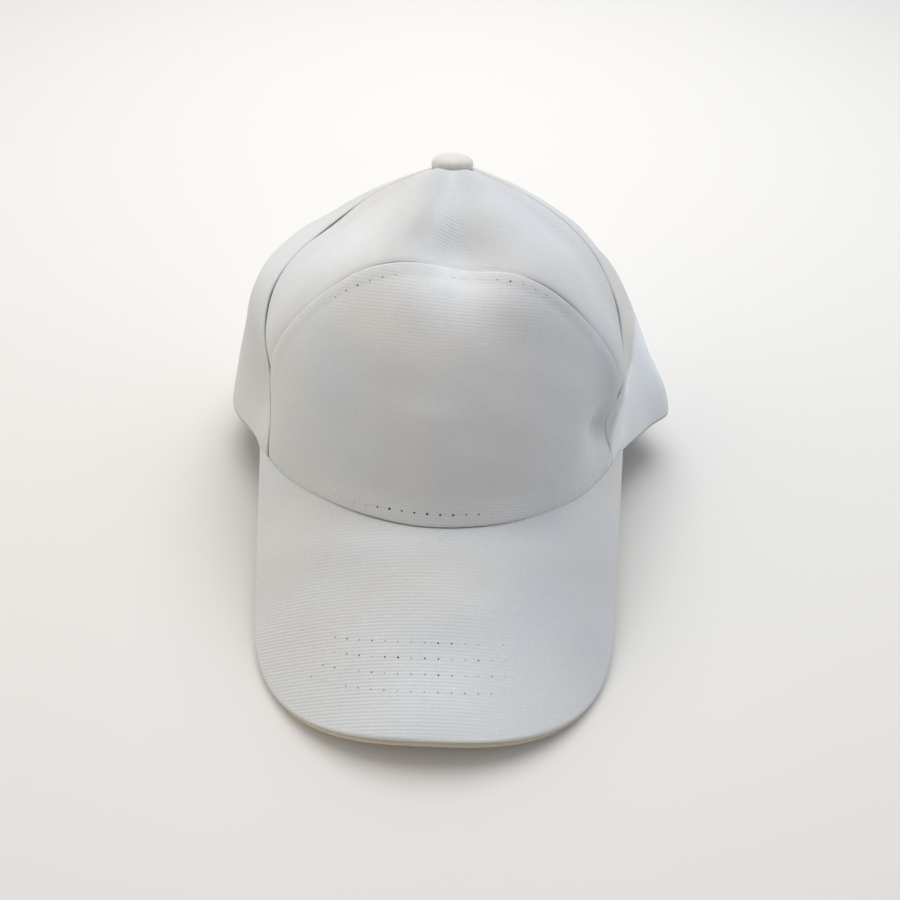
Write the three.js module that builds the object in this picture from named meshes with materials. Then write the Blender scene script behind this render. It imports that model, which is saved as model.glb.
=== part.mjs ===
// Seven-panel cap in white ribbed cloth, standing on a flat surface on its peak and its back rim.
// Millimetres, +Z up, front towards -Y, +X to the right as seen from the front.
// The shape is worked out in the cap's own frame, with the head opening in the plane z = 0.
// The whole cap is then tipped back by restTilt, as it stands by itself.
import * as THREE from 'three';

// Driving sizes of the cloth
const clothThickness = 1.6;
const seamGap = 0.36;
const crownHeight = 115;
const buttonHoleRadius = 4;

// Driving sizes of the peak, which slopes down and forward and bends across its width
const peakSlope = 39.5;
const peakRise = 1;
const peakBendRadius = 99.5;
const peakHalfWidth = 75.6;
const peakTaper = 0.08;
const peakCornerStart = 28;
const peakLength = 78.6;
const underpeakLength = 80.2;
const peakThickness = 2;
const underpeakThickness = 1.2;
const peakSheetGap = 0.3;
const peakJointGap = 0.35;
const peakJointFlare = 0.16;

// The crown's rim follows the peak as far as the first azimuth and is level beyond the second
const rimFollowsPeakTo = 56;
const rimIsLevelFrom = 72;
const rimDropLevel = 0.024;

// Sweatband, a strip inside the head opening
const bandGap = 0.7;
const bandThickness = 1;
const bandFootLevel = 0.01;
const bandHeightLevel = 0.15;
const bandFoldSpread = 1.12;
const bandFoldDepth = 1.06;

// How the cap stands
const restTilt = 14.8;
const restFlattening = 0.6;

// Meridians of the crown, a row for each section round the head, by rising azimuth.
// rimRadius is the rim, lean the wall's inward lean there and wallReach how far it holds that line;
// topSlope is the fall away from the button and topReach how far the top holds it.
const crownSections = [
  { azimuth: -130, rimRadius: 92, lean: 11, wallReach: 59.5, topSlope: 22, topReach: 64 },
  { azimuth: -90, rimRadius: 100.5, lean: 7, wallReach: 81, topSlope: 21.5, topReach: 71 },
  { azimuth: -65, rimRadius: 91.2, lean: 1.2, wallReach: 57.5, topSlope: 20.5, topReach: 71 },
  { azimuth: -35, rimRadius: 91, lean: 4.6, wallReach: 72.5, topSlope: 17, topReach: 69.5 },
  { azimuth: 0, rimRadius: 95.5, lean: 6, wallReach: 61.5, topSlope: 20, topReach: 63 },
  { azimuth: 35, rimRadius: 91.2, lean: 4, wallReach: 71, topSlope: 17.5, topReach: 69 },
  { azimuth: 65, rimRadius: 89.2, lean: 1.6, wallReach: 55.5, topSlope: 21, topReach: 70 },
  { azimuth: 90, rimRadius: 99, lean: 6.5, wallReach: 78.5, topSlope: 20.5, topReach: 71 },
  { azimuth: 130, rimRadius: 92, lean: 11, wallReach: 60, topSlope: 18.5, topReach: 64.5 },
  { azimuth: 180, rimRadius: 87, lean: 12, wallReach: 53.5, topSlope: 24, topReach: 53 },
];

// Dents and bulges of the soft cloth, in this order: the dent above the arch, the valley at the
// right seam, the hollow of the right side, the flared right corner, the tuck of the left side and
// the hollow of the left shoulder. across and along are half widths, depth is outward.
const crownFolds = [
  { azimuth: 5, level: 0.72, across: 33, along: 18.5, turn: -10, depth: -10.7 },
  { azimuth: 52, level: 0.13, across: 12.5, along: 13, turn: -5, depth: -8.4 },
  { azimuth: 84, level: 0.29, across: 16.5, along: 54, turn: -22, depth: -9 },
  { azimuth: 91, level: -0.01, across: 7.6, along: 26, turn: 9, depth: 8.3 },
  { azimuth: -73, level: 0.15, across: 22.5, along: 24, turn: 4, depth: -11.6 },
  { azimuth: -86, level: 0.67, across: 28, along: 24.5, turn: -8, depth: -3.7 },
];
const foldArcRadius = 90;
const foldWallLength = 180;

// Azimuth of the seams at levels from the rim (0) to the button (1), the same on both sides
const seamRows = [
  { level: 0, front: 55.6, side: 106, back: 150 },
  { level: 0.12, front: 57.2, side: 107, back: 150 },
  { level: 0.25, front: 64.8, side: 108.5, back: 150 },
  { level: 0.4, front: 71.8, side: 110.5, back: 150.5 },
  { level: 0.6, front: 79.2, side: 113.5, back: 151 },
  { level: 0.8, front: 87.9, side: 117, back: 151.5 },
  { level: 1, front: 97.2, side: 122, back: 152 },
];

// The arch seam between the two front panels rises from the side seams to the middle
const archJoinLevel = 0.17;
const archPeakLevel = 0.695;
const archPower = 1.97;

// Button: radius and height above the crown's apex, from the stem's foot to the top
const buttonProfile = [
  { radius: 0, height: -6.5 },
  { radius: 2.7, height: -6.5 },
  { radius: 2.7, height: -0.5 },
  { radius: 8.1, height: -2.1 },
  { radius: 8.5, height: -1.2 },
  { radius: 8.5, height: 0.2 },
  { radius: 7.9, height: 1.6 },
  { radius: 6.2, height: 2.7 },
  { radius: 3.4, height: 3.3 },
  { radius: 0, height: 3.5 },
];
const buttonLean = 3;
const buttonSides = 28;

// Cloth colours and finish
const finishes = {
  white_cloth: { color: 0xe3e5e8, roughness: 0.85 },
  button_cloth: { color: 0xdddad2, roughness: 0.88 },
  cream_cloth: { color: 0xcbbfae, roughness: 0.9 },
  band_cloth: { color: 0xd8d0c2, roughness: 0.9 },
};

const radians = THREE.MathUtils.degToRad;
const wrapDegrees = (angle) => THREE.MathUtils.euclideanModulo(angle + 180, 360) - 180;

// Cubic from station b to station c, its slopes taken from the stations on either side
function cubicBetween(a, b, c, d, at) {
  const span = c.at - b.at;
  const share = (at - b.at) / span;
  const slopeB = ((c.value - a.value) / (c.at - a.at)) * span;
  const slopeC = ((d.value - b.value) / (d.at - b.at)) * span;
  const square = share * share;
  const cube = square * share;
  return (2 * cube - 3 * square + 1) * b.value + (cube - 2 * square + share) * slopeB
    + (3 * square - 2 * cube) * c.value + (cube - square) * slopeC;
}

// One column of the crown's sections at any azimuth, as a cubic that closes round the head
function sectionValue(azimuth, column) {
  const at = wrapDegrees(azimuth);
  const count = crownSections.length;
  const next = crownSections.findIndex((row) => row.azimuth > at);
  const station = (place) => {
    const row = crownSections[THREE.MathUtils.euclideanModulo(place, count)];
    return { at: row.azimuth + 360 * Math.floor(place / count), value: row[column] };
  };
  return cubicBetween(station(next - 2), station(next - 1), station(next), station(next + 1), at);
}

// Azimuth of one seam at a level, as a cubic through the seam rows
function seamAzimuth(level, column) {
  const last = seamRows.length - 1;
  const at = THREE.MathUtils.clamp(level, 0, 1);
  const next = THREE.MathUtils.clamp(seamRows.findIndex((row) => row.level > at), 1, last);
  const place = at >= 1 ? last : next;
  const station = (index) => {
    const row = seamRows[THREE.MathUtils.clamp(index, 0, last)];
    const overshoot = index - THREE.MathUtils.clamp(index, 0, last);
    return { at: row.level + 0.1 * overshoot, value: row[column] };
  };
  return cubicBetween(station(place - 2), station(place - 1), station(place), station(place + 1), at);
}

// 1 where the rim follows the peak, 0 where it is level
function peakFollowShare(azimuth) {
  return 1 - THREE.MathUtils.smoothstep(Math.abs(wrapDegrees(azimuth)), rimFollowsPeakTo, rimIsLevelFrom);
}

const frontRimY = -sectionValue(0, 'rimRadius');
const peakSin = Math.sin(radians(peakSlope));
const peakCos = Math.cos(radians(peakSlope));

// Height of the peak's upper face above a place (x, y) in the plane of the head opening
function peakHeight(x, y) {
  const sag = (x * x) / (2 * peakBendRadius);
  return peakRise + ((y - frontRimY) * peakSin - sag) / peakCos;
}

// A point of the crown: a Bezier meridian from the rim to the apex, pushed along its normal by the folds
function crownPoint(azimuth, level, folds = crownFolds) {
  const angle = radians(azimuth);
  const rimRadius = sectionValue(azimuth, 'rimRadius');
  const lean = radians(sectionValue(azimuth, 'lean'));
  const wallReach = sectionValue(azimuth, 'wallReach');
  const topSlope = radians(sectionValue(azimuth, 'topSlope'));
  const topReach = sectionValue(azimuth, 'topReach');
  const onPeak = peakHeight(rimRadius * Math.sin(angle), -rimRadius * Math.cos(angle));
  const rimHeight = peakFollowShare(azimuth) * onPeak;
  const r = [rimRadius, rimRadius - wallReach * Math.sin(lean), topReach * Math.cos(topSlope), 0];
  const z = [rimHeight, rimHeight + wallReach * Math.cos(lean),
    crownHeight - topReach * Math.sin(topSlope), crownHeight];
  const rest = 1 - level;
  const weights = [rest ** 3, 3 * rest * rest * level, 3 * rest * level * level, level ** 3];
  const rates = [
    -3 * rest * rest,
    3 * rest * (1 - 3 * level),
    3 * level * (2 - 3 * level),
    3 * level * level,
  ];
  const blend = (values, by) => values.reduce((sum, value, index) => sum + value * by[index], 0);
  const rateR = blend(r, rates);
  const rateZ = blend(z, rates);
  const length = Math.hypot(rateR, rateZ);
  const push = folds.reduce((sum, fold) => sum + foldDepth(fold, azimuth, level), 0);
  const radius = blend(r, weights) + (rateZ / length) * push;
  const height = blend(z, weights) - (rateR / length) * push;
  return new THREE.Vector3(radius * Math.sin(angle), -radius * Math.cos(angle), height);
}

// Depth of one fold: a bell whose long axis is turned in the cloth
function foldDepth(fold, azimuth, level) {
  const sideways = radians(wrapDegrees(azimuth - fold.azimuth)) * foldArcRadius;
  const upward = (level - fold.level) * foldWallLength;
  const turn = radians(fold.turn);
  const across = sideways * Math.cos(turn) + upward * Math.sin(turn);
  const along = upward * Math.cos(turn) - sideways * Math.sin(turn);
  return fold.depth * Math.exp(-((across / fold.across) ** 2) - (along / fold.along) ** 2);
}

// The crown's surface moved inward by a depth, square to the cloth
function crownInset(azimuth, level, depth, folds = crownFolds) {
  const step = 0.05;
  const levelStep = 0.0005;
  const at = (azimuthShift, levelShift) => crownPoint(azimuth + azimuthShift, level + levelShift, folds);
  const sideways = at(step, 0).sub(at(-step, 0));
  const upward = at(0, levelStep).sub(at(0, -levelStep));
  const outward = sideways.cross(upward).normalize();
  return at(0, 0).addScaledVector(outward, -depth);
}

// Cloth that would reach below the surface is flattened where it rests
const restUp = new THREE.Vector3(0, -Math.sin(radians(restTilt)), Math.cos(radians(restTilt)));
const restLevel = crownPoint(180, 0).dot(restUp) + restFlattening;
function flattenedAtRest(point) {
  const below = restLevel - point.dot(restUp);
  return below > 0 ? point.addScaledVector(restUp, below) : point;
}

// A closed sheet: two grids over shares 0..1 across and along, joined round their edges.
// A ring closes on itself across and is joined only along its two rims.
function sheetGeometry(columns, rows, outerAt, innerAt, isRing = false) {
  const stride = isRing ? columns : columns + 1;
  const faceSize = stride * (rows + 1);
  const positions = [];
  for (const faceAt of [outerAt, innerAt]) {
    for (let row = 0; row <= rows; row += 1) {
      for (let column = 0; column < stride; column += 1) {
        positions.push(...flattenedAtRest(faceAt(column / columns, row / rows)).toArray());
      }
    }
  }
  const triangles = [];
  const outer = (column, row) => row * stride + (column % stride);
  const inner = (column, row) => faceSize + outer(column, row);
  const quad = (a, b, c, d) => triangles.push(a, b, c, a, c, d);
  for (let column = 0; column < columns; column += 1) {
    for (let row = 0; row < rows; row += 1) {
      quad(outer(column, row), outer(column + 1, row), outer(column + 1, row + 1), outer(column, row + 1));
      quad(inner(column, row), inner(column, row + 1), inner(column + 1, row + 1), inner(column + 1, row));
    }
    quad(inner(column, 0), inner(column + 1, 0), outer(column + 1, 0), outer(column, 0));
    quad(outer(column, rows), outer(column + 1, rows), inner(column + 1, rows), inner(column, rows));
  }
  for (let row = 0; row < rows && !isRing; row += 1) {
    quad(outer(0, row), outer(0, row + 1), inner(0, row + 1), inner(0, row));
    quad(inner(columns, row), inner(columns, row + 1), outer(columns, row + 1), outer(columns, row));
  }
  const geometry = new THREE.BufferGeometry();
  geometry.setAttribute('position', new THREE.Float32BufferAttribute(positions, 3));
  geometry.setIndex(triangles);
  return geometry;
}

// A crown panel: placeAt gives the azimuth and level of a place in the panel
function panelGeometry(columns, rows, placeAt) {
  const faceAt = (depth) => (across, along) => {
    const place = placeAt(across, along);
    return crownInset(place.azimuth, place.level, depth);
  };
  return sheetGeometry(columns, rows, faceAt(0), faceAt(clothThickness));
}

// Half the seam gap as an azimuth, wider where the crown is narrow
function seamShift(azimuth, level) {
  const point = crownPoint(azimuth, level);
  return THREE.MathUtils.radToDeg((0.5 * seamGap) / Math.hypot(point.x, point.y));
}

const rimLevel = (azimuth) => -rimDropLevel * peakFollowShare(azimuth);

// The panels stop at the hole that the button's stem goes through
function topLevel(azimuth) {
  const slope = radians(sectionValue(azimuth, 'topSlope'));
  return 1 - buttonHoleRadius / (3 * sectionValue(azimuth, 'topReach') * Math.cos(slope));
}

// Gore between two seams: a negative side is the left of the cap, and from runs to the higher azimuth
function gorePlace(fromSeam, toSeam) {
  return (across, along) => {
    const middle = (fromSeam(0.5) + toSeam(0.5)) / 2;
    const level = rimLevel(middle) + along * (topLevel(middle) - rimLevel(middle));
    const from = fromSeam(level);
    const to = toSeam(level);
    const left = from + seamShift(from, level);
    const right = to - seamShift(to, level);
    const azimuth = left + across * (right - left);
    const foot = rimLevel(azimuth);
    const top = topLevel(azimuth);
    return { azimuth, level: foot + along * (top - foot) };
  };
}

// Level of the arch seam at a share -1..1 of the way between the two side seams
const archRise = archPeakLevel - archJoinLevel;
const archLevel = (share) => archJoinLevel + archRise * (1 - Math.abs(share) ** archPower);

// Half the seam gap as a level, measured square to the arch
function archShift(share) {
  const rise = archRise * archPower * Math.abs(share) ** (archPower - 1) * foldWallLength;
  const run = radians(seamAzimuth(archLevel(share), 'front')) * foldArcRadius;
  return (0.5 * seamGap * Math.hypot(1, rise / run)) / foldWallLength;
}

// Shares -1..1 across a front panel, closer together towards the side seams
function frontShare(across) {
  const even = 2 * across - 1;
  return 0.6 * even + 0.4 * Math.sin((Math.PI / 2) * even);
}

// Azimuth of a share of the front at a level, short of the side seams by half the gap
function frontAzimuth(share, level) {
  const seam = seamAzimuth(level, 'front');
  return share * (seam - seamShift(seam, level));
}

function frontPanelPlace(across, along) {
  const share = frontShare(across);
  const foot = rimLevel(share * seamAzimuth(0, 'front'));
  const level = foot + along * (archLevel(share) - archShift(share) - foot);
  return { azimuth: frontAzimuth(share, level), level };
}

function upperFrontPlace(across, along) {
  const share = frontShare(across);
  const foot = archLevel(share) + archShift(share);
  const top = topLevel(share * seamAzimuth(1, 'front'));
  const level = foot + along * (top - foot);
  return { azimuth: frontAzimuth(share, level), level };
}

// A point of the peak: x across, forward down its slope, depth below its upper face
function peakPoint(x, forward, depth) {
  const sag = (x * x) / (2 * peakBendRadius);
  const tilt = x / peakBendRadius;
  const square = depth / Math.hypot(1, tilt);
  const fall = sag + square;
  return new THREE.Vector3(
    x - tilt * square,
    frontRimY - forward * peakCos + fall * peakSin,
    peakRise - forward * peakSin - fall * peakCos,
  );
}

const halfWidthAt = (forward) => peakHalfWidth - peakTaper * forward;

// Forward place of the peak's free edge at a share -1..1 of its width: straight sides, round corners
function peakEdge(share, length) {
  const corner = (1 - Math.abs(share) ** 3) ** (1 / 3);
  return peakCornerStart + (length - peakCornerStart) * corner;
}

// Forward place where the peak meets the crown's rim at a share of its width, found by halving
function peakSeam(share, depth) {
  const clearance = peakJointGap + peakJointFlare * depth;
  let inside = -70;
  let outside = 20;
  for (let turn = 0; turn < 30; turn += 1) {
    const forward = (inside + outside) / 2;
    const point = peakPoint(share * halfWidthAt(forward), forward, depth);
    const azimuth = THREE.MathUtils.radToDeg(Math.atan2(point.x, -point.y));
    const beyond = Math.hypot(point.x, point.y) - sectionValue(azimuth, 'rimRadius') - clearance;
    if (beyond < 0) {
      inside = forward;
    } else {
      outside = forward;
    }
  }
  return outside;
}

// One sheet of the peak between two depths
function peakGeometry(columns, rows, length, topDepth, thickness) {
  const faceAt = (depth) => (across, along) => {
    const share = Math.sin((Math.PI / 2) * (2 * across - 1));
    const seam = peakSeam(share, depth);
    const forward = seam + (1 - along) * (peakEdge(share, length) - seam);
    return peakPoint(share * halfWidthAt(forward), forward, depth);
  };
  return sheetGeometry(columns, rows, faceAt(topDepth), faceAt(topDepth + thickness));
}

// The band follows the crown's inner face in rounder folds, and not out into the flared corner
function sweatbandGeometry(columns, rows) {
  const folds = crownFolds.filter((fold) => fold.depth < 0).map((fold) => ({
    ...fold,
    across: fold.across * bandFoldSpread,
    along: fold.along * bandFoldSpread,
    depth: fold.depth * bandFoldDepth,
  }));
  const faceAt = (depth) => (across, along) => {
    const azimuth = 360 * across - 180;
    const level = rimLevel(azimuth) + bandFootLevel + along * bandHeightLevel;
    return crownInset(azimuth, level, depth, folds);
  };
  const outerDepth = clothThickness + bandGap;
  return sheetGeometry(columns, rows, faceAt(outerDepth), faceAt(outerDepth + bandThickness), true);
}

function buttonGeometry() {
  const profile = buttonProfile.map((row) => new THREE.Vector2(row.radius, row.height));
  return new THREE.LatheGeometry(profile, buttonSides).rotateX(Math.PI / 2);
}

const capFrame = new THREE.Group();
capFrame.rotation.x = -radians(restTilt);

// Adds one named piece in one of the cloths
function addPiece(name, geometry, finish) {
  const material = new THREE.MeshStandardMaterial({ ...finishes[finish], metalness: 0, name: finish });
  const piece = new THREE.Mesh(geometry, material);
  piece.name = name;
  capFrame.add(piece);
  return piece;
}

// Seams by their signed azimuth, positive on the right
const seam = (column, side) => (level) => side * seamAzimuth(level, column);
const backSeamAcross = (level) => 360 - seamAzimuth(level, 'back');

const gores = [
  { name: 'side_panel_left', columns: 12, rows: 22, from: seam('side', -1), to: seam('front', -1) },
  { name: 'side_panel_right', columns: 14, rows: 22, from: seam('front', 1), to: seam('side', 1) },
  { name: 'back_panel_left', columns: 8, rows: 18, from: seam('back', -1), to: seam('side', -1) },
  { name: 'back_panel_right', columns: 8, rows: 18, from: seam('side', 1), to: seam('back', 1) },
  { name: 'back_panel_centre', columns: 12, rows: 18, from: seam('back', 1), to: backSeamAcross },
];

addPiece('front_panel', panelGeometry(28, 12, frontPanelPlace), 'white_cloth');
addPiece('upper_front_panel', panelGeometry(28, 11, upperFrontPlace), 'white_cloth');
for (const gore of gores) {
  const geometry = panelGeometry(gore.columns, gore.rows, gorePlace(gore.from, gore.to));
  addPiece(gore.name, geometry, 'white_cloth');
}
addPiece('peak', peakGeometry(26, 9, peakLength, 0, peakThickness), 'white_cloth');
addPiece(
  'underpeak',
  peakGeometry(26, 9, underpeakLength, peakThickness + peakSheetGap, underpeakThickness),
  'cream_cloth',
);
addPiece('sweatband', sweatbandGeometry(80, 4), 'band_cloth');

const button = addPiece('top_button', buttonGeometry(), 'button_cloth');
button.position.z = crownHeight;
button.rotation.x = -radians(buttonLean);

// Stand the cap on z = 0 with the origin under the middle of its box
const cap = new THREE.Group();
cap.add(capFrame);
cap.updateMatrixWorld(true);
const box = new THREE.Box3().setFromObject(cap, true);
capFrame.position.set(-(box.min.x + box.max.x) / 2, -(box.min.y + box.max.y) / 2, -box.min.z);

export default cap;
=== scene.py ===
# Seven-panel cap in white ribbed cloth, dressed round its CAD solids.
# Shapes are worked out in millimetres in the cap's own frame: the head opening lies in z = 0, the
# front looks towards -Y and +X is its right. toWorld stands the cap up and turns millimetres to metres.
# A place on the crown is an azimuth in degrees, 0 at the front and 90 on the right, and a level, 0 at
# the rim and 1 at the button.
import math

import bpy
import numpy as np
from mathutils import Matrix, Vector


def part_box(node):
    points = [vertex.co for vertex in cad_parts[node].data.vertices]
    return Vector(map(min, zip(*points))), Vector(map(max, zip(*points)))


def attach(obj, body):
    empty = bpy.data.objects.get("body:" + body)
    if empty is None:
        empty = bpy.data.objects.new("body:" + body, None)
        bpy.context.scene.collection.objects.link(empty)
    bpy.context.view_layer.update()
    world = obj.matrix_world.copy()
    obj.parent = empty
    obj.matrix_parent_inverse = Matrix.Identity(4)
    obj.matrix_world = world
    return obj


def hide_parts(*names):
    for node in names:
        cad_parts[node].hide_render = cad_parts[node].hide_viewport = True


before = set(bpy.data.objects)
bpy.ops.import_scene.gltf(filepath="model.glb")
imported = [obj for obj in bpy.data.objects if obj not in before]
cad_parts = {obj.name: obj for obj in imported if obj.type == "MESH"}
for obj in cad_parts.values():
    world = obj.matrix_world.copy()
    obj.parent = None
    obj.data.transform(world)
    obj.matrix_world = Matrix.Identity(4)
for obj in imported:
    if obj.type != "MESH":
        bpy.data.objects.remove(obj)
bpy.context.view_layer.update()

# The crown's form, with the same named sizes as the part's source
crown = {
    "height": 115,
    # azimuth, rimRadius, lean, wallReach, topSlope, topReach round the head
    "sections": np.array([
        [-130, 92, 11, 59.5, 22, 64],
        [-90, 100.5, 7, 81, 21.5, 71],
        [-65, 91.2, 1.2, 57.5, 20.5, 71],
        [-35, 91, 4.6, 72.5, 17, 69.5],
        [0, 95.5, 6, 61.5, 20, 63],
        [35, 91.2, 4, 71, 17.5, 69],
        [65, 89.2, 1.6, 55.5, 21, 70],
        [90, 99, 6.5, 78.5, 20.5, 71],
        [130, 92, 11, 60, 18.5, 64.5],
        [180, 87, 12, 53.5, 24, 53],
    ]),
    # azimuth, level, across, along, turn, depth: the dents and bulges that the solids have too
    "folds": [
        (5, 0.72, 33, 18.5, -10, -10.7),
        (52, 0.13, 12.5, 13, -5, -8.4),
        (84, 0.29, 16.5, 54, -22, -9),
        (91, -0.01, 7.6, 26, 9, 8.3),
        (-73, 0.15, 22.5, 24, 4, -11.6),
        (-86, 0.67, 28, 24.5, -8, -3.7),
    ],
    "clothRadius": 90,  # the unfolded cloth: radius of its arc round the head, and height of its wall
    "clothHeight": 180,
    # level, then the azimuths of the front, side and back seams
    "seamRows": np.array([
        [0, 55.6, 106, 150],
        [0.12, 57.2, 107, 150],
        [0.25, 64.8, 108.5, 150],
        [0.4, 71.8, 110.5, 150.5],
        [0.6, 79.2, 113.5, 151],
        [0.8, 87.9, 117, 151.5],
        [1, 97.2, 122, 152],
    ]),
    "rimFollowsPeakTo": 56,
    "rimIsLevelFrom": 72,
    "rimDropLevel": 0.024,
    "archJoinLevel": 0.17,
    "archPeakLevel": 0.695,
    "archPower": 1.97,
    "buttonHoleRadius": 4,
    "restTilt": 14.8,
    "restFlattening": 0.6,
}
clothHeight = crown["clothHeight"]
archRise = crown["archPeakLevel"] - crown["archJoinLevel"]
rimColumn, slopeColumn, reachColumn = 1, 4, 5  # of the sections
frontSeam, sideSeam, backSeam = 1, 2, 3  # columns of the seam rows

peak = {
    "slope": 39.5,
    "rise": 1,
    "bendRadius": 99.5,
    "halfWidth": 75.6,
    "taper": 0.08,
    "cornerStart": 28,
    "length": 78.6,
    "underLength": 80.2,
    "thickness": 2,
    "underThickness": 1.2,
    "sheetGap": 0.3,
    "jointGap": -0.1,
    "jointFlare": 0.16,
    "seamBetween": (-70, 20),
}


# Angle brought to -180..180 degrees
def wrapDegrees(angle):
    return (angle + 180) % 360 - 180


# 0 before start, 1 after end, and the smooth cubic 3t^2 - 2t^3 between; with start past end it fades out
def smoothStep(value, start, end):
    share = np.clip((value - start) / (end - start), 0, 1)
    return share * share * (3 - 2 * share)


# Bell: exp(-|(value - middle) / width|^power)
def bell(value, middle, width, power=2):
    return np.exp(-np.abs((value - middle) / width) ** power)


# A course: its base, plus smooth steps (amount, start, end), plus bells (amount, middle, width, power)
def course(value, base, steps=(), bells=()):
    return (base + sum(amount * smoothStep(value, *ends) for amount, *ends in steps)
            + sum(amount * bell(value, *shape) for amount, *shape in bells))


# Window: the product of smooth steps, 1 where every one of them is
def window(value, fades):
    return math.prod(smoothStep(value, *fade) for fade in fades)


# Where a test that holds near one end stops to hold: 30 halvings between inside and outside
def halved(isInside, inside, outside):
    for _ in range(30):
        middle = (inside + outside) / 2
        within = isInside(middle)
        inside, outside = np.where(within, middle, inside), np.where(within, outside, middle)
    return outside


# Cubic between stations b and c of a table, its slopes taken from the stations a and d on either side
def cubicThrough(stations, values, following, at):
    a, b, c, d = (following + shift for shift in (-2, -1, 0, 1))
    span = stations[c] - stations[b]
    share = (at - stations[b]) / span
    slopeB = (values[c] - values[a]) / (stations[c] - stations[a]) * span
    slopeC = (values[d] - values[b]) / (stations[d] - stations[b]) * span
    square, cube = share**2, share**3
    return ((2 * cube - 3 * square + 1) * values[b] + (cube - 2 * square + share) * slopeB
            + (3 * square - 2 * cube) * values[c] + (cube - square) * slopeC)


# One column of the sections at any azimuth: the cubic above, closed round the head
def sectionValue(azimuth, column):
    table = crown["sections"]
    count = len(table)
    place = np.arange(-2, count + 2)
    stations = table[place % count, 0] + 360 * (place // count)
    at = wrapDegrees(np.asarray(azimuth, float))
    following = np.searchsorted(table[:, 0], at, side="right") + 2
    return cubicThrough(stations, table[place % count, column], following, at)


# Azimuth of one seam at a level: a cubic through the seam rows, level beyond both ends
def seamAzimuth(level, column):
    table = crown["seamRows"]
    stations = np.concatenate([[-0.1], table[:, 0], [1.1]])
    values = table[np.clip(np.arange(-1, len(table) + 1), 0, len(table) - 1), column]
    at = np.clip(level, 0, 1)
    following = np.clip(np.searchsorted(table[:, 0], at, side="right"), 1, len(table) - 1) + 1
    return cubicThrough(stations, values, following, at)


# Distance round the unfolded cloth from the middle of the front
def acrossCloth(azimuth):
    return np.radians(azimuth) * crown["clothRadius"]


# 1 where the rim follows the peak, 0 where it is level
def peakFollowShare(azimuth):
    return smoothStep(np.abs(wrapDegrees(azimuth)), crown["rimIsLevelFrom"], crown["rimFollowsPeakTo"])


frontRimY = -float(sectionValue(0, rimColumn))
peakSin, peakCos = math.sin(math.radians(peak["slope"])), math.cos(math.radians(peak["slope"]))


# Height of the peak's upper face above a place in the plane of the head opening
def peakHeight(x, y):
    sag = x * x / (2 * peak["bendRadius"])
    return peak["rise"] + ((y - frontRimY) * peakSin - sag) / peakCos


# Depth of one fold: a Gaussian bell whose long axis is turned in the cloth
def foldDepth(fold, azimuth, level):
    place, height, acrossWidth, alongWidth, turn, depth = fold
    sideways = acrossCloth(wrapDegrees(azimuth - place))
    upward = (level - height) * clothHeight
    cosTurn, sinTurn = math.cos(math.radians(turn)), math.sin(math.radians(turn))
    across = sideways * cosTurn + upward * sinTurn
    along = upward * cosTurn - sideways * sinTurn
    return depth * np.exp(-((across / acrossWidth) ** 2) - (along / alongWidth) ** 2)


# Crown point: a Bezier meridian from the rim to the apex, pushed along its normal by the folds
def crownPoint(azimuth, level, folds):
    angle = np.radians(azimuth)
    radius, lean, wallReach, topSlope, topReach = (sectionValue(azimuth, c) for c in range(1, 6))
    lean, topSlope = np.radians(lean), np.radians(topSlope)
    foot = peakFollowShare(azimuth) * peakHeight(radius * np.sin(angle), -radius * np.cos(angle))
    apex = crown["height"]
    r = [radius, radius - wallReach * np.sin(lean), topReach * np.cos(topSlope), 0]
    z = [foot, foot + wallReach * np.cos(lean), apex - topReach * np.sin(topSlope), apex]
    rest = 1 - level
    weights = [rest**3, 3 * rest**2 * level, 3 * rest * level**2, level**3]
    rates = [-3 * rest**2, 3 * rest * (1 - 3 * level), 3 * level * (2 - 3 * level), 3 * level**2]
    rateR = sum(w * v for w, v in zip(rates, r))
    rateZ = sum(w * v for w, v in zip(rates, z))
    length = np.hypot(rateR, rateZ)
    push = sum((foldDepth(fold, azimuth, level) for fold in folds), 0)
    outR = sum(w * v for w, v in zip(weights, r)) + rateZ / length * push
    outZ = sum(w * v for w, v in zip(weights, z)) - rateR / length * push
    return np.stack([outR * np.sin(angle), -outR * np.cos(angle), outZ], -1)


# Crown point and its outward normal, from the cross product of central differences
def crownFrame(azimuth, level, folds, turn=0.05, climb=0.0005):
    sideways = crownPoint(azimuth + turn, level, folds) - crownPoint(azimuth - turn, level, folds)
    upward = crownPoint(azimuth, level + climb, folds) - crownPoint(azimuth, level - climb, folds)
    normal = np.cross(sideways, upward)
    return crownPoint(azimuth, level, folds), normal / np.linalg.norm(normal, axis=-1, keepdims=True)


# Level of the rim, a little lower where the crown stands behind the peak
def rimLevel(azimuth):
    return -crown["rimDropLevel"] * peakFollowShare(azimuth)


# Distance from the apex near it: a Bezier leaves its end at 3 times its last reach
def fromApex(azimuth, level):
    return 3 * sectionValue(azimuth, reachColumn) * (1 - level)


# Level where the panels stop, at the hole for the button's stem
def topLevel(azimuth):
    slope = np.radians(sectionValue(azimuth, slopeColumn))
    return 1 - crown["buttonHoleRadius"] / (fromApex(azimuth, 0) * np.cos(slope))


# Level of the arch seam at a share -1..1 of the front: join + rise (1 - |share|^power)
def archLevel(share):
    return crown["archJoinLevel"] + archRise * (1 - np.abs(share) ** crown["archPower"])


# Length of the arch seam's slope for each millimetre across the cloth: the root of 1 + its tangent squared
def archStretch(share):
    fall = archRise * crown["archPower"] * np.abs(share) ** (crown["archPower"] - 1) * clothHeight
    return np.hypot(1, fall / acrossCloth(seamAzimuth(archLevel(share), frontSeam)))


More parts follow.
